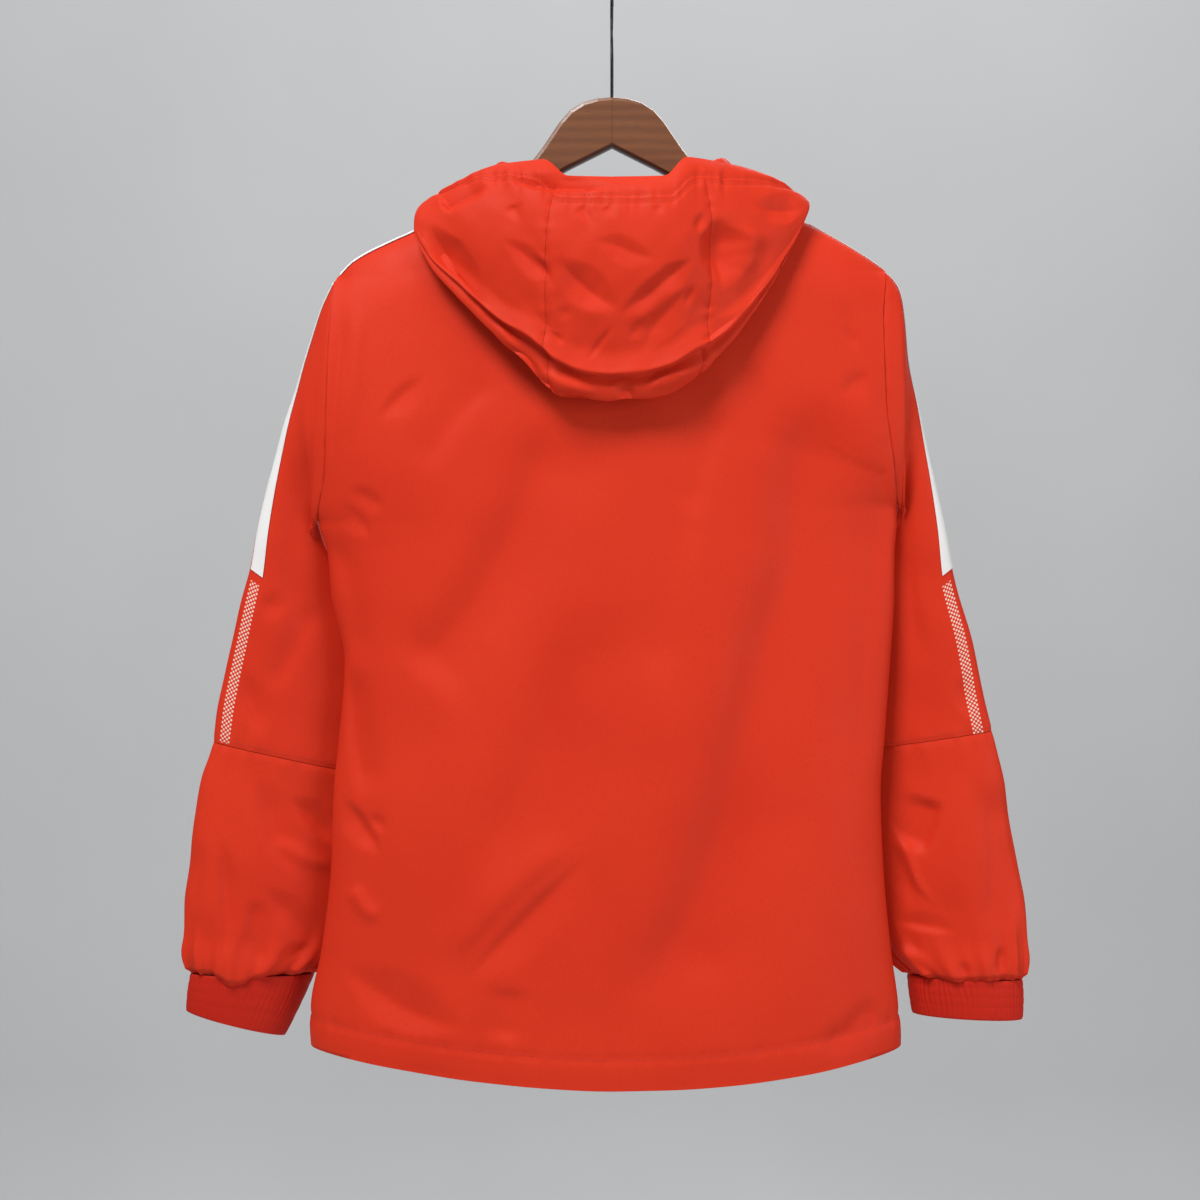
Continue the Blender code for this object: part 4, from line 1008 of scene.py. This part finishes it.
def makeCuff(side):
    angles = np.linspace(-math.pi, math.pi, cuff["columns"])
    top, bottom = (sleeveRing(row, side, angles) for row in sleeveShape[side][-2:])
    down = np.linspace(0.01, 1, cuff["rows"])
    grid = np.array([top + (bottom - top) * s for s in down])
    normals = facing(grid, outwardOf(grid), True)
    lift = cuffLift(*np.meshgrid(down, angles, indexing="ij"), side)
    outer = grid + normals * lift[..., None]
    # folded over at the end and up inside
    over = [outer[-1] - normals[-1] * 0.9 + unit(bottom - top) * 0.4, outer[-1] - normals[-1] * cuff["turn"]]
    inner = [grid[row] - normals[row] * cuff["turn"] for row in cuff["turnRows"]]
    full = np.concatenate([outer, np.array(over + inner)])
    full[:, -1] = full[:, 0]
    name, out = f"cuff{side.title()}", outwardOf(grid)
    makeCloth(name, full, out, cuffClothPaintedShade, f"cuff_{side}", closed=True)


for side in sides:
    makeCuff(side)
print("cuffs made")

# the pale strips on the sleeves and over the shoulders lie on the cloth
strip = {
    # degrees round the sleeve, at its top and at its lower end
    "span": {"left": ((-14, 12), (-32, -8)), "right": ((-2, 26), (-28, 2))},
    "firstRing": 0.15,
    "lastRing": 6,
    "lift": 0.75,
    "thick": 0.4,
    "columns": 14,
    "rows": 90,
}


def sampleGrid(grid, rows, columns):
    # rows and columns may be fractions
    rows, columns = np.broadcast_arrays(rows, columns)
    i = np.clip(np.floor(rows).astype(int), 0, grid.shape[0] - 2)
    j = np.clip(np.floor(columns).astype(int), 0, grid.shape[1] - 2)
    a, b = (rows - i)[..., None], (columns - j)[..., None]
    near = grid[i, j] * (1 - b) + grid[i, j + 1] * b
    far = grid[i + 1, j] * (1 - b) + grid[i + 1, j + 1] * b
    return near * (1 - a) + far * a


def makeStrip(name, grid, outward, node):
    makeCloth(name, grid, outward, whiteCloth, node, thick=strip["thick"])


def makeSleeveStrip(side):
    down, across = np.linspace(0, 1, strip["rows"]), np.linspace(0, 1, strip["columns"])
    down, across = np.meshgrid(down, across, indexing="ij")
    (topLow, topHigh), (endLow, endHigh) = strip["span"][side]
    degrees = (topLow + (topHigh - topLow) * across) * (1 - down)
    degrees = degrees + (endLow + (endHigh - endLow) * across) * down
    column = (degrees + 180) / 360 * (sleeve["columns"] - 1)
    ring = strip["firstRing"] + (strip["lastRing"] - strip["firstRing"]) * down
    row = ring / upperEnd * (sleeve["upperRows"] - 1)
    up = sampleGrid(sleeveNormals[side], row, column)
    lay = sampleGrid(sleeveGrids[side], row, column) + up * strip["lift"]
    outward = up[strip["rows"] // 2, strip["columns"] // 2]
    makeStrip(f"sleeveStrip{side.title()}", lay, outward, f"sleeve_strip_{side}")


# reach is how far it lies behind (negative) and before the shoulder's ridge, and bend how it falls there
shoulderStrip = {
    "from": 161,
    "to": 222,
    "reach": {"left": (-7, 8), "right": (0.5, 17)},
    "bend": (0.16, 1.35),
    "lift": 1.1,
    "columns": 40,
    "rows": 12,
}


def makeShoulderStrip(side):
    sign = -1 if side == "left" else 1
    bend, power = shoulderStrip["bend"]
    rows = []
    for s in np.linspace(*shoulderStrip["reach"][side], shoulderStrip["rows"]):
        row = []
        for x in np.linspace(shoulderStrip["from"], shoulderStrip["to"], shoulderStrip["columns"]) * sign:
            z = float(ridgeZ(x)) - bend * abs(s) ** power
            y = float(bodyY(np.array(x), np.array(z), "front" if s > 0 else "back"))
            row.append((x, math.copysign(min(y, abs(s) + 2), s) if s else 0.0, z))
        rows.append(row)
    grid = np.array(rows, float)
    outward = (0, 0, 1) if side == "left" else (0, 0.6, 1)
    grid = grid + facing(grid, outward) * shoulderStrip["lift"]
    makeStrip(f"shoulderStrip{side.title()}", grid, outward, f"shoulder_strip_{side}")


for side in sides:
    makeSleeveStrip(side)
for side in sides:
    makeShoulderStrip(side)
print("strips made")

# stations round the neck, 0 at the nape to 1 at the throat: turn, rim x y z, lowest point x y z, puff, tuck
hoodShape = {
    "left": np.array([
        (0.00, -1, -58, -168, -2, -50, -346, 20, 1.0),
        (0.14, -35, -57, -167, -40, -50, -343, 20, 1.0),
        (0.22, -56, -47, -152, -72, -47, -313, 21, 0.9),
        (0.32, -90, -33, -153, -116, -42, -269, 20, 0.5),
        (0.42, -124, -20, -165, -147, -35, -234, 15, 0.2),
        (0.50, -139, -8, -172, -160, -24, -205, 9, 0.0),
        (0.58, -134, 10, -176, -150, 2, -190, 6, 0.0),
        (0.68, -112, 25, -182, -124, 24, -200, 5, 0.0),
        (0.84, -62, 35, -198, -66, 38, -222, 4, 0.0),
        (1.00, -8, 40, -212, -8, 42, -232, 3, 0.0),
    ]),
    "right": np.array([
        (0.00, -1, -58, -168, -2, -50, -346, 20, 1.0),
        (0.14, 41, -57, -167, 40, -50, -342, 20, 1.0),
        (0.22, 61, -46, -150, 64, -48, -329, 21, 0.9),
        (0.32, 100, -32, -154, 101, -44, -290, 20, 0.5),
        (0.42, 133, -20, -163, 136, -36, -236, 15, 0.2),
        (0.50, 150, -8, -175, 154, -24, -196, 9, 0.0),
        (0.58, 143, 10, -178, 150, 2, -188, 6, 0.0),
        (0.68, 118, 25, -182, 126, 24, -198, 5, 0.0),
        (0.84, 64, 35, -196, 68, 38, -220, 4, 0.0),
        (1.00, 8, 40, -212, 8, 42, -232, 3, 0.0),
    ]),
}
hood = {
    "seams": (-0.165, 0.235),
    "seamGap": 0.0003,
    "rimDepth": 22,
    "rimShare": 0.55,
    "rimThick": 2.2,
    "rimDrop": 0.6,
    # the casing's two rows of stitches, from its sewn edge
    "stitches": (-3.2, 2.6),
    "overBody": 4.5,
    "shoulderEnd": 224,
    "coreDepth": 14,
    "rise": 5,
    "throatStart": 0.09,
    # how far down the section's plain lines lie
    "plain": (0, 0.06, 0.14, 0.24, 0.36, 0.48, 0.6, 0.72),
    # each line of the fold-over: how far down, how much of the lobe's lift it takes, how proud it stands
    "tuck": (
        (0.84, 1, 1.0),
        (0.90, 1, 6.0),
        (0.935, 1, 9.5),
        (0.945, 1, 7.0),
        (0.925, 1, 1.5),
        (0.935, 0.8, -1.5),
        (0.965, 0.35, 3.5),
        (1.0, 0, 1.5),
    ),
    "lobeLift": (0.035, (-52, 22, 0.07), (55, 22, 0.035)),
    # the lines between the tuck and the neck, and how far they sag
    "under": (0.16, 0.36, 0.6, 0.84),
    "sag": 3.5,
    # counted in lines: where the upper and the lower lobe's creases fade out, and the outside ends
    "upperLobe": (9.6, 11.2),
    "lowerLobe": ((11.5, 12.5), (15.2, 16)),
    "outside": (15, 17),
    # where the cord draws the casing up: x and half width
    "drawn": ((-79, 24), (81, 16)),
    # each sewn line: how deep it draws the cloth in, and how wide
    "sideDip": (3.6, 4),
    "stitchDips": ((0.7, 1.3), (0.6, 1.3)),
    "seamDip": (1.1, 1.5),
    "rimPuff": 0.8,
    "halfRound": 230,
    "rowsBetween": (8, 9, 10, 10, 10, 10, 11, 9, 9, 7, 6, 6, 6, 7, 9, 8, 8, 8, 5, 3, 3),
    "sideColumns": 116,
    "middleColumns": 78,
    "rimRows": 16,
}
# creases of the hanging hood as the photograph shows them
hoodCreases = (
    sharpFold(7.5, (11, 9), (-46, -222), (-29, -242), (-13, -256), (8, -267), ends=(0.45, 0.45)),
    sharpFold(5.6, (9, 4.6), (68, -224), (49, -236), (31, -251), (17, -262), (3, -274), ends=(0.3, 0.45)),
    sharpFold(1.7, (2.5, 2.2), (5, -275), (-7, -290), (-23, -311)),
    sharpFold(4.8, (10, 6.5), (67, -245), (50, -263), (34, -280), (24, -304)),
    sharpFold(2.2, (5, 4), (29, -272), (13, -292)),
    sharpFold(10.0, (17, 9), (91, -189), (88, -199), (87, -214), (89, -231), (91, -251), ends=(0.35, 0.45)),
    sharpFold(2.2, (3, 2.2), (68, -245), (64, -254), (60, -266)),
    sharpFold(2.6, (4, 3.5), (78, -184), (72, -195), (69, -205)),
    sharpFold(3.4, (6, 8), (-16, -210), (0, -212), (19, -220), (38, -225)),
    sharpFold(3.8, (5.5, 6), (-91, -209), (-77, -217), (-64, -230), (-46, -248)),
    sharpFold(2.0, (3, 3), (-70, -219), (-58, -231), (-47, -243)),
    sharpFold(
        9.5, (12, 10), (-150, -193), (-144, -212), (-134, -231), (-115, -256), (-95, -264),
        ends=(0.35, 0.45),
    ),
    sharpFold(6.5, (6, 3), (-89, -157), (-68, -163), (-39, -165), (7, -167)),
    sharpFold(4.4, (8, 7), (113, -177), (135, -184), (157, -185), ends=(0.5, 0.3)),
    sharpFold(2.2, (3, 4), (106, -269), (89, -281), (71, -294)),
    sharpFold(1.5, (2.5, 3), (-50, -284), (-39, -295)),
    sharpFold(1.4, (4, 4), (-46, -266), (-32, -272)),
    sharpFold(1.8, (4, 4), (-26, -182), (-19, -191), (-13, -201), ends=(0.05, 0.9)),
    sharpFold(1.8, (4, 3), (-5, -182), (4, -193), ends=(0.05, 0.9)),
    sharpFold(1.4, (3, 3), (37, -181), (42, -191), ends=(0.05, 0.9)),
    sharpFold(2.0, (5, 5), (-82, -181), (-74, -197), ends=(0.05, 0.9)),
    sharpFold(6.5, (4, 9), (-100, -163), (-121, -173), (-139, -182), ends=(0.4, 0.05)),
    fold(-2.2, (4, 5), (-156, -200), (-146, -224), (-131, -246), (-113, -262)),
    fold(-2.2, (9, 9), (104, -235), (112, -215), (122, -198)),
    fold(2.2, (7, 10), (128, -205), (120, -240), (104, -268)),
)
lowerLobeCreases = (
    sharpFold(-3.6, (6, 6), (-63, -315), (-39, -327), (-7, -336)),
    sharpFold(-3.6, (6, 6), (24, -335), (48, -321), (78, -314)),
    sharpFold(-3.0, (4, 5), (-98, -272), (-84, -292), (-70, -306)),
    sharpFold(2.0, (4, 6), (-90, -290), (-70, -308), (-56, -322)),
    sharpFold(3.2, (5, 5), (2, -326), (12, -334), (20, -338)),
    sharpFold(2.0, (3, 4), (-50, -334), (-30, -338), (-12, -342)),
)


def station(turn, column):
    tables = [hoodShape[side] for side in sides]
    return bySide(turn, *(smoothCurve(table[:, 0], table[:, column], np.abs(turn)) for table in tables))


def neckPoints(turn):
    reach = np.sin(math.pi * np.abs(turn))
    atThroat = np.abs(turn) > 0.5
    reach = np.where(atThroat, hood["throatStart"] + (1 - hood["throatStart"]) * reach, reach)
    x = np.copysign(body["neckHalf"] * reach, turn)
    found = np.zeros((len(turn), 3))
    for choice, row in (
        (~atThroat, backGrid[-1]),
        ((turn < 0) & atThroat, frontGrids["left"][-1]),
        ((turn > 0) & atThroat, frontGrids["right"][-1]),
    ):
        found[choice] = pointsAt(x[choice], row[:, 0], row)
    return found


def clearOfShoulders(points):
    # outwards from the shoulder's core until the cloth is off the body
    points = points.copy()
    ridge, over = ridgeZ(points[:, 0]), hood["overBody"]
    core = ridge - hood["coreDepth"]
    for _ in range(80):
        x, y, z = points.T
        depth = np.where(y < 0, *(bodyY(x, z - over * 0.7, face) for face in ("back", "front")))
        clear = (z >= ridge + over) | (np.abs(x) > hood["shoulderEnd"]) | (np.abs(y) >= depth + over * 0.8)
        if clear.all():
            break
        away = np.stack([y, np.maximum(z - core, 0)], axis=1)
        step = 0.5 * away / np.maximum(np.linalg.norm(away, axis=1, keepdims=True), 1e-3)
        points[:, 1:] += np.where(clear[:, None], 0, step)
    return points


def hoodLines(turn):
    # the hood's section at each turn, from the rim down the outside, round the tuck and up to the neck seam
    rim = np.stack([station(turn, k) for k in (1, 2, 3)], axis=1)
    low = np.stack([station(turn, k) for k in (4, 5, 6)], axis=1)
    puff, tuck = station(turn, 7), station(turn, 8)
    angle = math.pi * np.abs(turn)
    aside = np.copysign(np.sin(angle), turn) * 0.9
    outward = unit(np.stack([aside, -np.cos(angle), np.full(len(turn), 0.25)], axis=1))
    even = np.linspace(hood["plain"][-1], 1, len(hood["tuck"]) + 1)[1:]
    least, *lobes = hood["lobeLift"]
    lift = least + sum(high * bell(low[:, 0] - x, wide) for x, wide, high in lobes)
    section = [(s, 0, 0.0, None) for s in hood["plain"]]
    section += [(*item, plain) for item, plain in zip(hood["tuck"], even)]
    lines = []
    for along, lifted, proud, plain in section:
        if plain is None:
            s = np.full(len(turn), along)
        else:
            s = tuck * (along - lift * lifted) + (1 - tuck) * plain
        bulge = puff * np.sin(math.pi * np.minimum(s, 1) ** 0.8)
        lines.append(rim + (low - rim) * s[:, None] + outward * (bulge + tuck * proud)[:, None])
    start = neckPoints(turn) + (0, 0, 3 * seam)
    rise = start + (0, 0, hood["rise"]) + outward * 0.8
    over, last = rise + outward * 6.0, lines[-1]
    for s in hood["under"]:
        sag = (0, 0, hood["sag"] * math.sin(math.pi * s))
        lines.append(clearOfShoulders(last + (over - last) * s - sag))
    return np.array(lines + [over, rise, start])


def hoodTurns():
    # the columns of the three panels, closer together at the back
    left, right = hood["seams"]
    gap = hood["seamGap"]
    away = np.linspace(0, 1, hood["sideColumns"]) ** 1.25
    return [
        ((left - gap) * (1 - away) - away)[::-1],
        np.linspace(left + gap, right - gap, hood["middleColumns"]),
        (right + gap) * (1 - away) + away,
    ]


def panelRows():
    # the rows of the panels, counted in lines; the first lies at the casing
    share = [np.ones(1)]
    for i, count in enumerate(hood["rowsBetween"]):
        share.append(i + 1 + np.arange(1, count + 1) / count)
    return np.concatenate(share)[:, None]


def hoodForm(turns, starts):
    # at counts the rows in lines, casing is where the rim's casing ends on each column, and depth
    # is each row's distance from the rim
    lines = hoodLines(turns)
    counted, fineAt = np.arange(len(lines)), np.linspace(0, 3, 61)
    reach = runAlong(smoothCurve(counted, lines, fineAt))
    casing = np.minimum(hood["rimDepth"], reach[-1] * hood["rimShare"])
    rimEnd, panelStart = (
        np.array([np.interp(casing[j] + gap, reach[:, j], fineAt) for j in range(len(turns))])
        for gap in (0, 0.6 * seam)
    )
    rows = panelRows()
    early = np.clip((rows - 1) / 3, 0, 1)
    panelAt = np.where(rows < 4, panelStart * (1 - early) + 4 * early, rows)
    rimShare = np.linspace(0, 1, hood["rimRows"])[:, None]
    at = np.concatenate([rimShare * rimEnd, panelAt])
    points = np.stack([smoothCurve(counted, lines[:, j], at[:, j]) for j in range(len(turns))], axis=1)
    normals = facing(points, (0, -1, 0))
    if normals[30, len(turns) // 2, 1] > 0:
        normals = -normals
    for column in starts[1:-1]:
        normals[:, column] = normals[:, column - 1] = unit(normals[:, column] + normals[:, column - 1])
    depth = np.concatenate([rimShare * casing, casing + (panelAt - panelStart) * 12])
    return {"points": points, "normals": normals, "at": at, "casing": casing, "depth": depth}


def hoodPress(form, turns):
    # how far in each point of the hood is pressed
    at, depth, casing = form["at"], form["depth"], form["casing"]
    x, z = form["points"][..., 0], form["points"][..., 2]
    seen = asSeen(form["points"])
    first, last = hood["lowerLobe"]
    upperLobe = 1 - smoothStep(*hood["upperLobe"], at)
    lowerLobe = smoothStep(*first, at) * (1 - smoothStep(*last, at))
    outside = 1 - smoothStep(*hood["outside"], at)
    press = creaseDepth(hoodCreases, *seen) * upperLobe * smoothStep(0, 0.35, at)
    press *= smoothStep(-0.1, 0.5, -form["normals"][..., 1])
    press += creaseDepth(lowerLobeCreases, *seen) * lowerLobe
    slow = unevenWave(x + 0.6 * z, 52, 0.8) * 0.7 + unevenWave(x - 0.8 * z, 37, 2.1) * 0.2
    press += slow * outside * smoothStep(0.2, 2, at)
    # puckers of the casing, strongest where the cord has drawn it up
    fromEdge = depth - casing
    tight = 0.35
    for middle, wide in hood["drawn"]:
        tight = tight + 0.9 * bell(x - middle, wide)
    ruck = unevenWave(x, 11, 0.5) * 0.75 + unevenWave(x, 23, 1.9) * 0.5
    press += 1.5 * ruck * tight * bell(fromEdge, 8) * smoothStep(0, 6, depth)
    # at the sides the casing's sewn edge is drawn in, and the side panels puff out below it
    aside = smoothStep(0.3, 0.44, np.abs(turns)) * (1 - smoothStep(0.6, 0.75, np.abs(turns)))
    dip, wide = hood["sideDip"]
    press += dip * bell(fromEdge, wide) * aside
    dips = zip(hood["stitches"], hood["stitchDips"])
    press += sum(dip * bell(fromEdge - offset, wide) for offset, (dip, wide) in dips)
    press -= hood["rimPuff"] * np.sin(math.pi * np.clip(depth / casing, 0, 1)) * (depth < casing)
    # the sewn seams of the middle panel, pulled in a little, with small puckers
    dip, wide = hood["seamDip"]
    seamPull = np.zeros_like(press)
    for turn in hood["seams"]:
        run = (turns - turn) * hood["halfRound"]
        seamPull += (dip + unevenWave(z, 13, turn) * 0.5) * bell(run, wide)
        seamPull += unevenWave(z, 21, 2 * turn) * 0.25 * bell(run, 6 * wide)
    return press + seamPull * outside * smoothStep(0.8, 1.6, at)


def makeHoodPanel(name, node, form, first, last):
    rim = hood["rimRows"]
    part = form["points"][rim:, first:last]
    outward = form["normals"][rim + part.shape[0] // 2, first + part.shape[1] // 2]
    makeCloth(name, part, outward, redCloth, node)


def makeHoodRim(form):
    # the rim is folded over: up inside, over the top, down outside
    rim, thick = hood["rimRows"], hood["rimThick"]
    outer, normals = form["points"][:rim], form["normals"][:rim]
    inside = outer[::-1][:-1] - normals[::-1][:-1] * thick
    half = thick / 2
    top = [
        outer[0] - normals[0] * (half - half * math.cos(a)) + (0, 0, half * math.sin(a) - hood["rimDrop"])
        for a in np.radians((150, 120, 90, 60, 30))
    ]
    grid = np.concatenate([inside, np.array(top), outer])
    outward = normals[rim // 2, outer.shape[1] // 2]
    makeCloth("hoodRim", grid, outward, redCloth, "hood_rim")


spans = hoodTurns()
turns = np.concatenate(spans)
starts = np.cumsum([0] + [len(span) for span in spans])
hoodSurface = hoodForm(turns, starts)
press = hoodPress(hoodSurface, turns)[..., None]
hoodSurface["points"] = hoodSurface["points"] - hoodSurface["normals"] * press
makeHoodPanel("hoodSideLeft", "hood_left", hoodSurface, *starts[:2])
makeHoodPanel("hoodMiddle", "hood_center", hoodSurface, *starts[1:3])
makeHoodPanel("hoodSideRight", "hood_right", hoodSurface, *starts[2:])
makeHoodRim(hoodSurface)
print("hood made")

# zip tapes, and moulded teeth that mesh below the slider
zipShape = {
    "reach": 14,
    "columns": 9,
    "rows": 120,
    "behind": 1.9,
    "thick": 0.6,
    "toothPitch": 3.0,
    "toothSize": (2.6, 1.7, 1.35),
    "toothBevel": 0.35,
    "toothOut": 0.75,
    # how far the teeth stand from the middle below and above the slider, which hides some
    "meshed": 0.35,
    "parted": 1.5,
    "sliderZ": -262,
    "sliderHalf": 8,
}


def makeZipTape(side):
    sign = -1 if side == "left" else 1
    reach = np.linspace(seam, zipShape["reach"], zipShape["columns"])
    level, reach = np.meshgrid(bodyLevels(zipShape["rows"])[3:], reach, indexing="ij")
    grid = bodyPoints(sign * reach / body["frontHalf"], level, "front")
    grid[..., 0] = sign * reach
    outward = (0, 1, 0)
    grid = grid - facing(grid, outward) * zipShape["behind"]
    name, node, thick = f"zipTape{side.title()}", f"zip_tape_{side}", zipShape["thick"]
    makeCloth(name, grid, outward, tapeCloth, node, thick=thick)
    return grid


def copyShape(name, model, places, material):
    # places: origin and three axes for each copy, in millimetres
    points = np.array([vertex.co for vertex in model.data.vertices])
    faces = [tuple(face.vertices) for face in model.data.polygons]
    allPoints, allFaces = [], []
    for origin, axes in places:
        start = len(allPoints) * len(points)
        allPoints.append((origin + points @ axes) * mm)
        allFaces += [tuple(start + corner for corner in face) for face in faces]
    mesh = bpy.data.meshes.new(name)
    mesh.from_pydata(np.concatenate(allPoints).tolist(), [], allFaces)
    mesh.update()
    piece = bpy.data.objects.new(name, mesh)
    bpy.context.scene.collection.objects.link(piece)
    bpy.ops.object.select_all(action="DESELECT")
    piece.select_set(True)
    bpy.context.view_layer.objects.active = piece
    bpy.ops.object.shade_smooth_by_angle(angle=math.radians(50))
    piece.data.materials.append(material)
    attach(piece, "garment")


def resized(size):
    bpy.ops.object.mode_set(mode="EDIT")
    bpy.ops.transform.resize(value=size)
    bpy.ops.object.mode_set(mode="OBJECT")
    return bpy.context.object


def makeTooth():
    bpy.ops.object.select_all(action="DESELECT")
    bpy.ops.mesh.primitive_cube_add(size=1)
    tooth = resized(zipShape["toothSize"])
    soften = tooth.modifiers.new("soften", "BEVEL")
    soften.width, soften.segments = zipShape["toothBevel"], 1
    bpy.ops.object.modifier_apply(modifier=soften.name)
    return tooth


def makeTeeth(side, tooth, edge):
    # along the tape's edge; the left side's teeth lie half a pitch below the right side's
    sign, pitch = (-1, 0) if side == "left" else (1, zipShape["toothPitch"] / 2)
    places = []
    for z in np.arange(edge[0, 2] + 3 + pitch, edge[-1, 2] - 2, zipShape["toothPitch"]):
        if abs(z - zipShape["sliderZ"]) < zipShape["sliderHalf"]:
            continue
        y = np.interp(z, edge[:, 2], edge[:, 1]) + zipShape["toothOut"]
        away = zipShape["meshed"] if z < zipShape["sliderZ"] else zipShape["parted"]
        places.append((np.array((sign * away, y, z)), np.eye(3)))
    copyShape(f"zipTeeth{side.title()}", tooth, places, redPlastic)


tapes = [makeZipTape(side) for side in sides]
tooth = makeTooth()
for side in sides:
    makeTeeth(side, tooth, tapes[0][:, 0])
bpy.data.objects.remove(tooth)
print("zip made")

# stitches lie along the sewn lines
stitch = {"length": 2.7, "pitch": 3.6, "thick": 0.42, "lift": 0.08, "ahead": 0.8, "aboveElbow": 0.14}


def sewLine(name, line, normals):
    run = runAlong(line)
    at = np.arange(stitch["pitch"] / 2, run[-1], stitch["pitch"])
    spot, up = pointsAt(at, run, line), unit(pointsAt(at, run, normals))
    ahead = pointsAt(at + stitch["ahead"], run, line) - pointsAt(at - stitch["ahead"], run, line)
    ahead = unit(ahead)
    across = unit(np.cross(up, ahead))
    up = np.cross(ahead, across)
    places = list(zip(spot + up * stitch["lift"], np.stack([ahead, across, up], axis=1)))
    copyShape(name, stitchModel, places, redThread)


def facingOut(line, y):
    return np.tile(np.array((0, y, 0), float), (len(line), 1))


def sewHem(name, grid, y):
    line = pickLine(grid, grid[..., 2] - grid[0, :, 2], body["hemTurn"])[2:-2]
    sewLine(name, line, facingOut(line, y))


def sewBesideZip(name, grid):
    line = []
    for row in grid[4:-3]:
        row = row[np.argsort(np.abs(row[:, 0]))]
        line.append(pointsAt(body["zipStitch"] + body["zipHalf"], np.abs(row[:, 0]), row))
    sewLine(name, np.array(line), facingOut(line, 1))


def sewElbow(name, side):
    row = (sleeve["elbow"] - stitch["aboveElbow"]) / upperEnd * (sleeve["upperRows"] - 1)
    columns = np.arange(sleeve["columns"])[:-1].astype(float)
    sewLine(name, *(sampleGrid(grid[side], row, columns) for grid in (sleeveGrids, sleeveNormals)))


def sewCasing(name, offset):
    depth, at = hoodSurface["depth"], hoodSurface["casing"] + offset
    sewLine(name, *(pickLine(hoodSurface[key], depth, at) for key in ("points", "normals")))


bpy.ops.object.select_all(action="DESELECT")
bpy.ops.mesh.primitive_ico_sphere_add(subdivisions=1, radius=0.5)
stitchModel = resized((stitch["length"], stitch["thick"], stitch["thick"]))
sewHem("hemStitchesBack", backGrid, -1)
for side in sides:
    sewHem(f"hemStitches{side.title()}", frontGrids[side], 1)
for side in sides:
    sewBesideZip(f"zipStitches{side.title()}", frontGrids[side])
for name, offset in zip(("casingStitchesUpper", "casingStitchesLower"), hood["stitches"]):
    sewCasing(name, offset)
for side in sides:
    sewElbow(f"elbowStitches{side.title()}", side)
bpy.data.objects.remove(stitchModel)
print("stitches made")

# a pale room: floor swept up into a wall far behind, soft lights, and a camera where the photograph's was
room = {
    "floor": -2.3,
    "wall": 3.3,
    "front": -3.4,
    "half": 4.5,
    "curve": 0.7,
    "curveRows": 21,
    "top": 3.4,
    "light": (0.62, 0.625, 0.63),
    "deep": (0.59, 0.595, 0.60),
}


def makeRoom():
    floor, wall, curve = room["floor"], room["wall"], room["curve"]
    profile = [(room["front"], floor), (wall - curve, floor)]
    for a in np.linspace(0, math.pi / 2, room["curveRows"] + 1)[1:]:
        profile.append((wall - curve + curve * math.sin(a), floor + curve * (1 - math.cos(a))))
    profile += [(wall, floor + curve + 0.5), (wall, room["top"])]
    rows = len(profile) - 1
    bpy.ops.object.select_all(action="DESELECT")
    bpy.ops.mesh.primitive_grid_add(x_subdivisions=1, y_subdivisions=rows, size=1)
    backdrop = bpy.context.object
    backdrop.name = "backdrop"
    for vertex in backdrop.data.vertices:
        y, z = profile[round((vertex.co.y + 0.5) * rows)]
        vertex.co = (vertex.co.x * 2 * room["half"], y, z)
    material, shader = newMaterial("paleRoom", room["light"])
    mottle = noiseNode(addNode(shader, "TexCoord", {}).outputs["Object"], 1.5, 3)
    colour = mixNode(rangeNode(mottle, 0.3, 0.7, 0, 1), room["light"], room["deep"])
    feedAll(shader, {"Base Color": colour, "Roughness": 0.8})
    backdrop.data.materials.append(material)
    bpy.ops.object.shade_smooth()


def addLight(name, place, aim, size, power):
    lamp = bpy.data.lights.new(name, "AREA")
    lamp.shape, lamp.size, lamp.size_y = "RECTANGLE", *size
    lamp.energy = power
    light = bpy.data.objects.new(name, lamp)
    bpy.context.scene.collection.objects.link(light)
    light.location = place
    x, y, z = np.array(aim) - np.array(place)
    tilt = math.acos(-z / math.hypot(x, y, z))
    light.rotation_euler = (tilt, 0, math.atan2(y, x) - math.pi / 2)


makeRoom()
garmentMiddle = (0, 0, -0.5)
addLight("keyLight", (-1.3, -2.2, 2.6), garmentMiddle, (1.4, 1.4), 150)
addLight("fillLight", (2.1, -1.9, -0.3), garmentMiddle, (1.6, 1.6), 26)
addLight("backLight", (0.8, 1.9, 0.9), garmentMiddle, (1.6, 1.2), 22)
addLight("wallLight", (0.7, 1.3, 2.6), (0.7, 3.3, 0.2), (4.0, 0.8), 34)
world = bpy.data.worlds.new("paleWorld")
world.use_nodes = True
feedAll(world.node_tree.nodes["Background"], {"Color": (0.78, 0.79, 0.80), "Strength": 0.34})
bpy.context.scene.world = world
bpy.context.scene.view_settings.view_transform = "Standard"

camera = bpy.data.cameras.new("camera")
camera.lens, camera.sensor_width = 67.7, 36
cameraObject = bpy.data.objects.new("camera", camera)
cameraObject.location = eye * mm
cameraObject.rotation_euler = (math.radians(90), 0, 0)
bpy.context.scene.collection.objects.link(cameraObject)
bpy.context.scene.camera = cameraObject
print("room, lights and camera made")
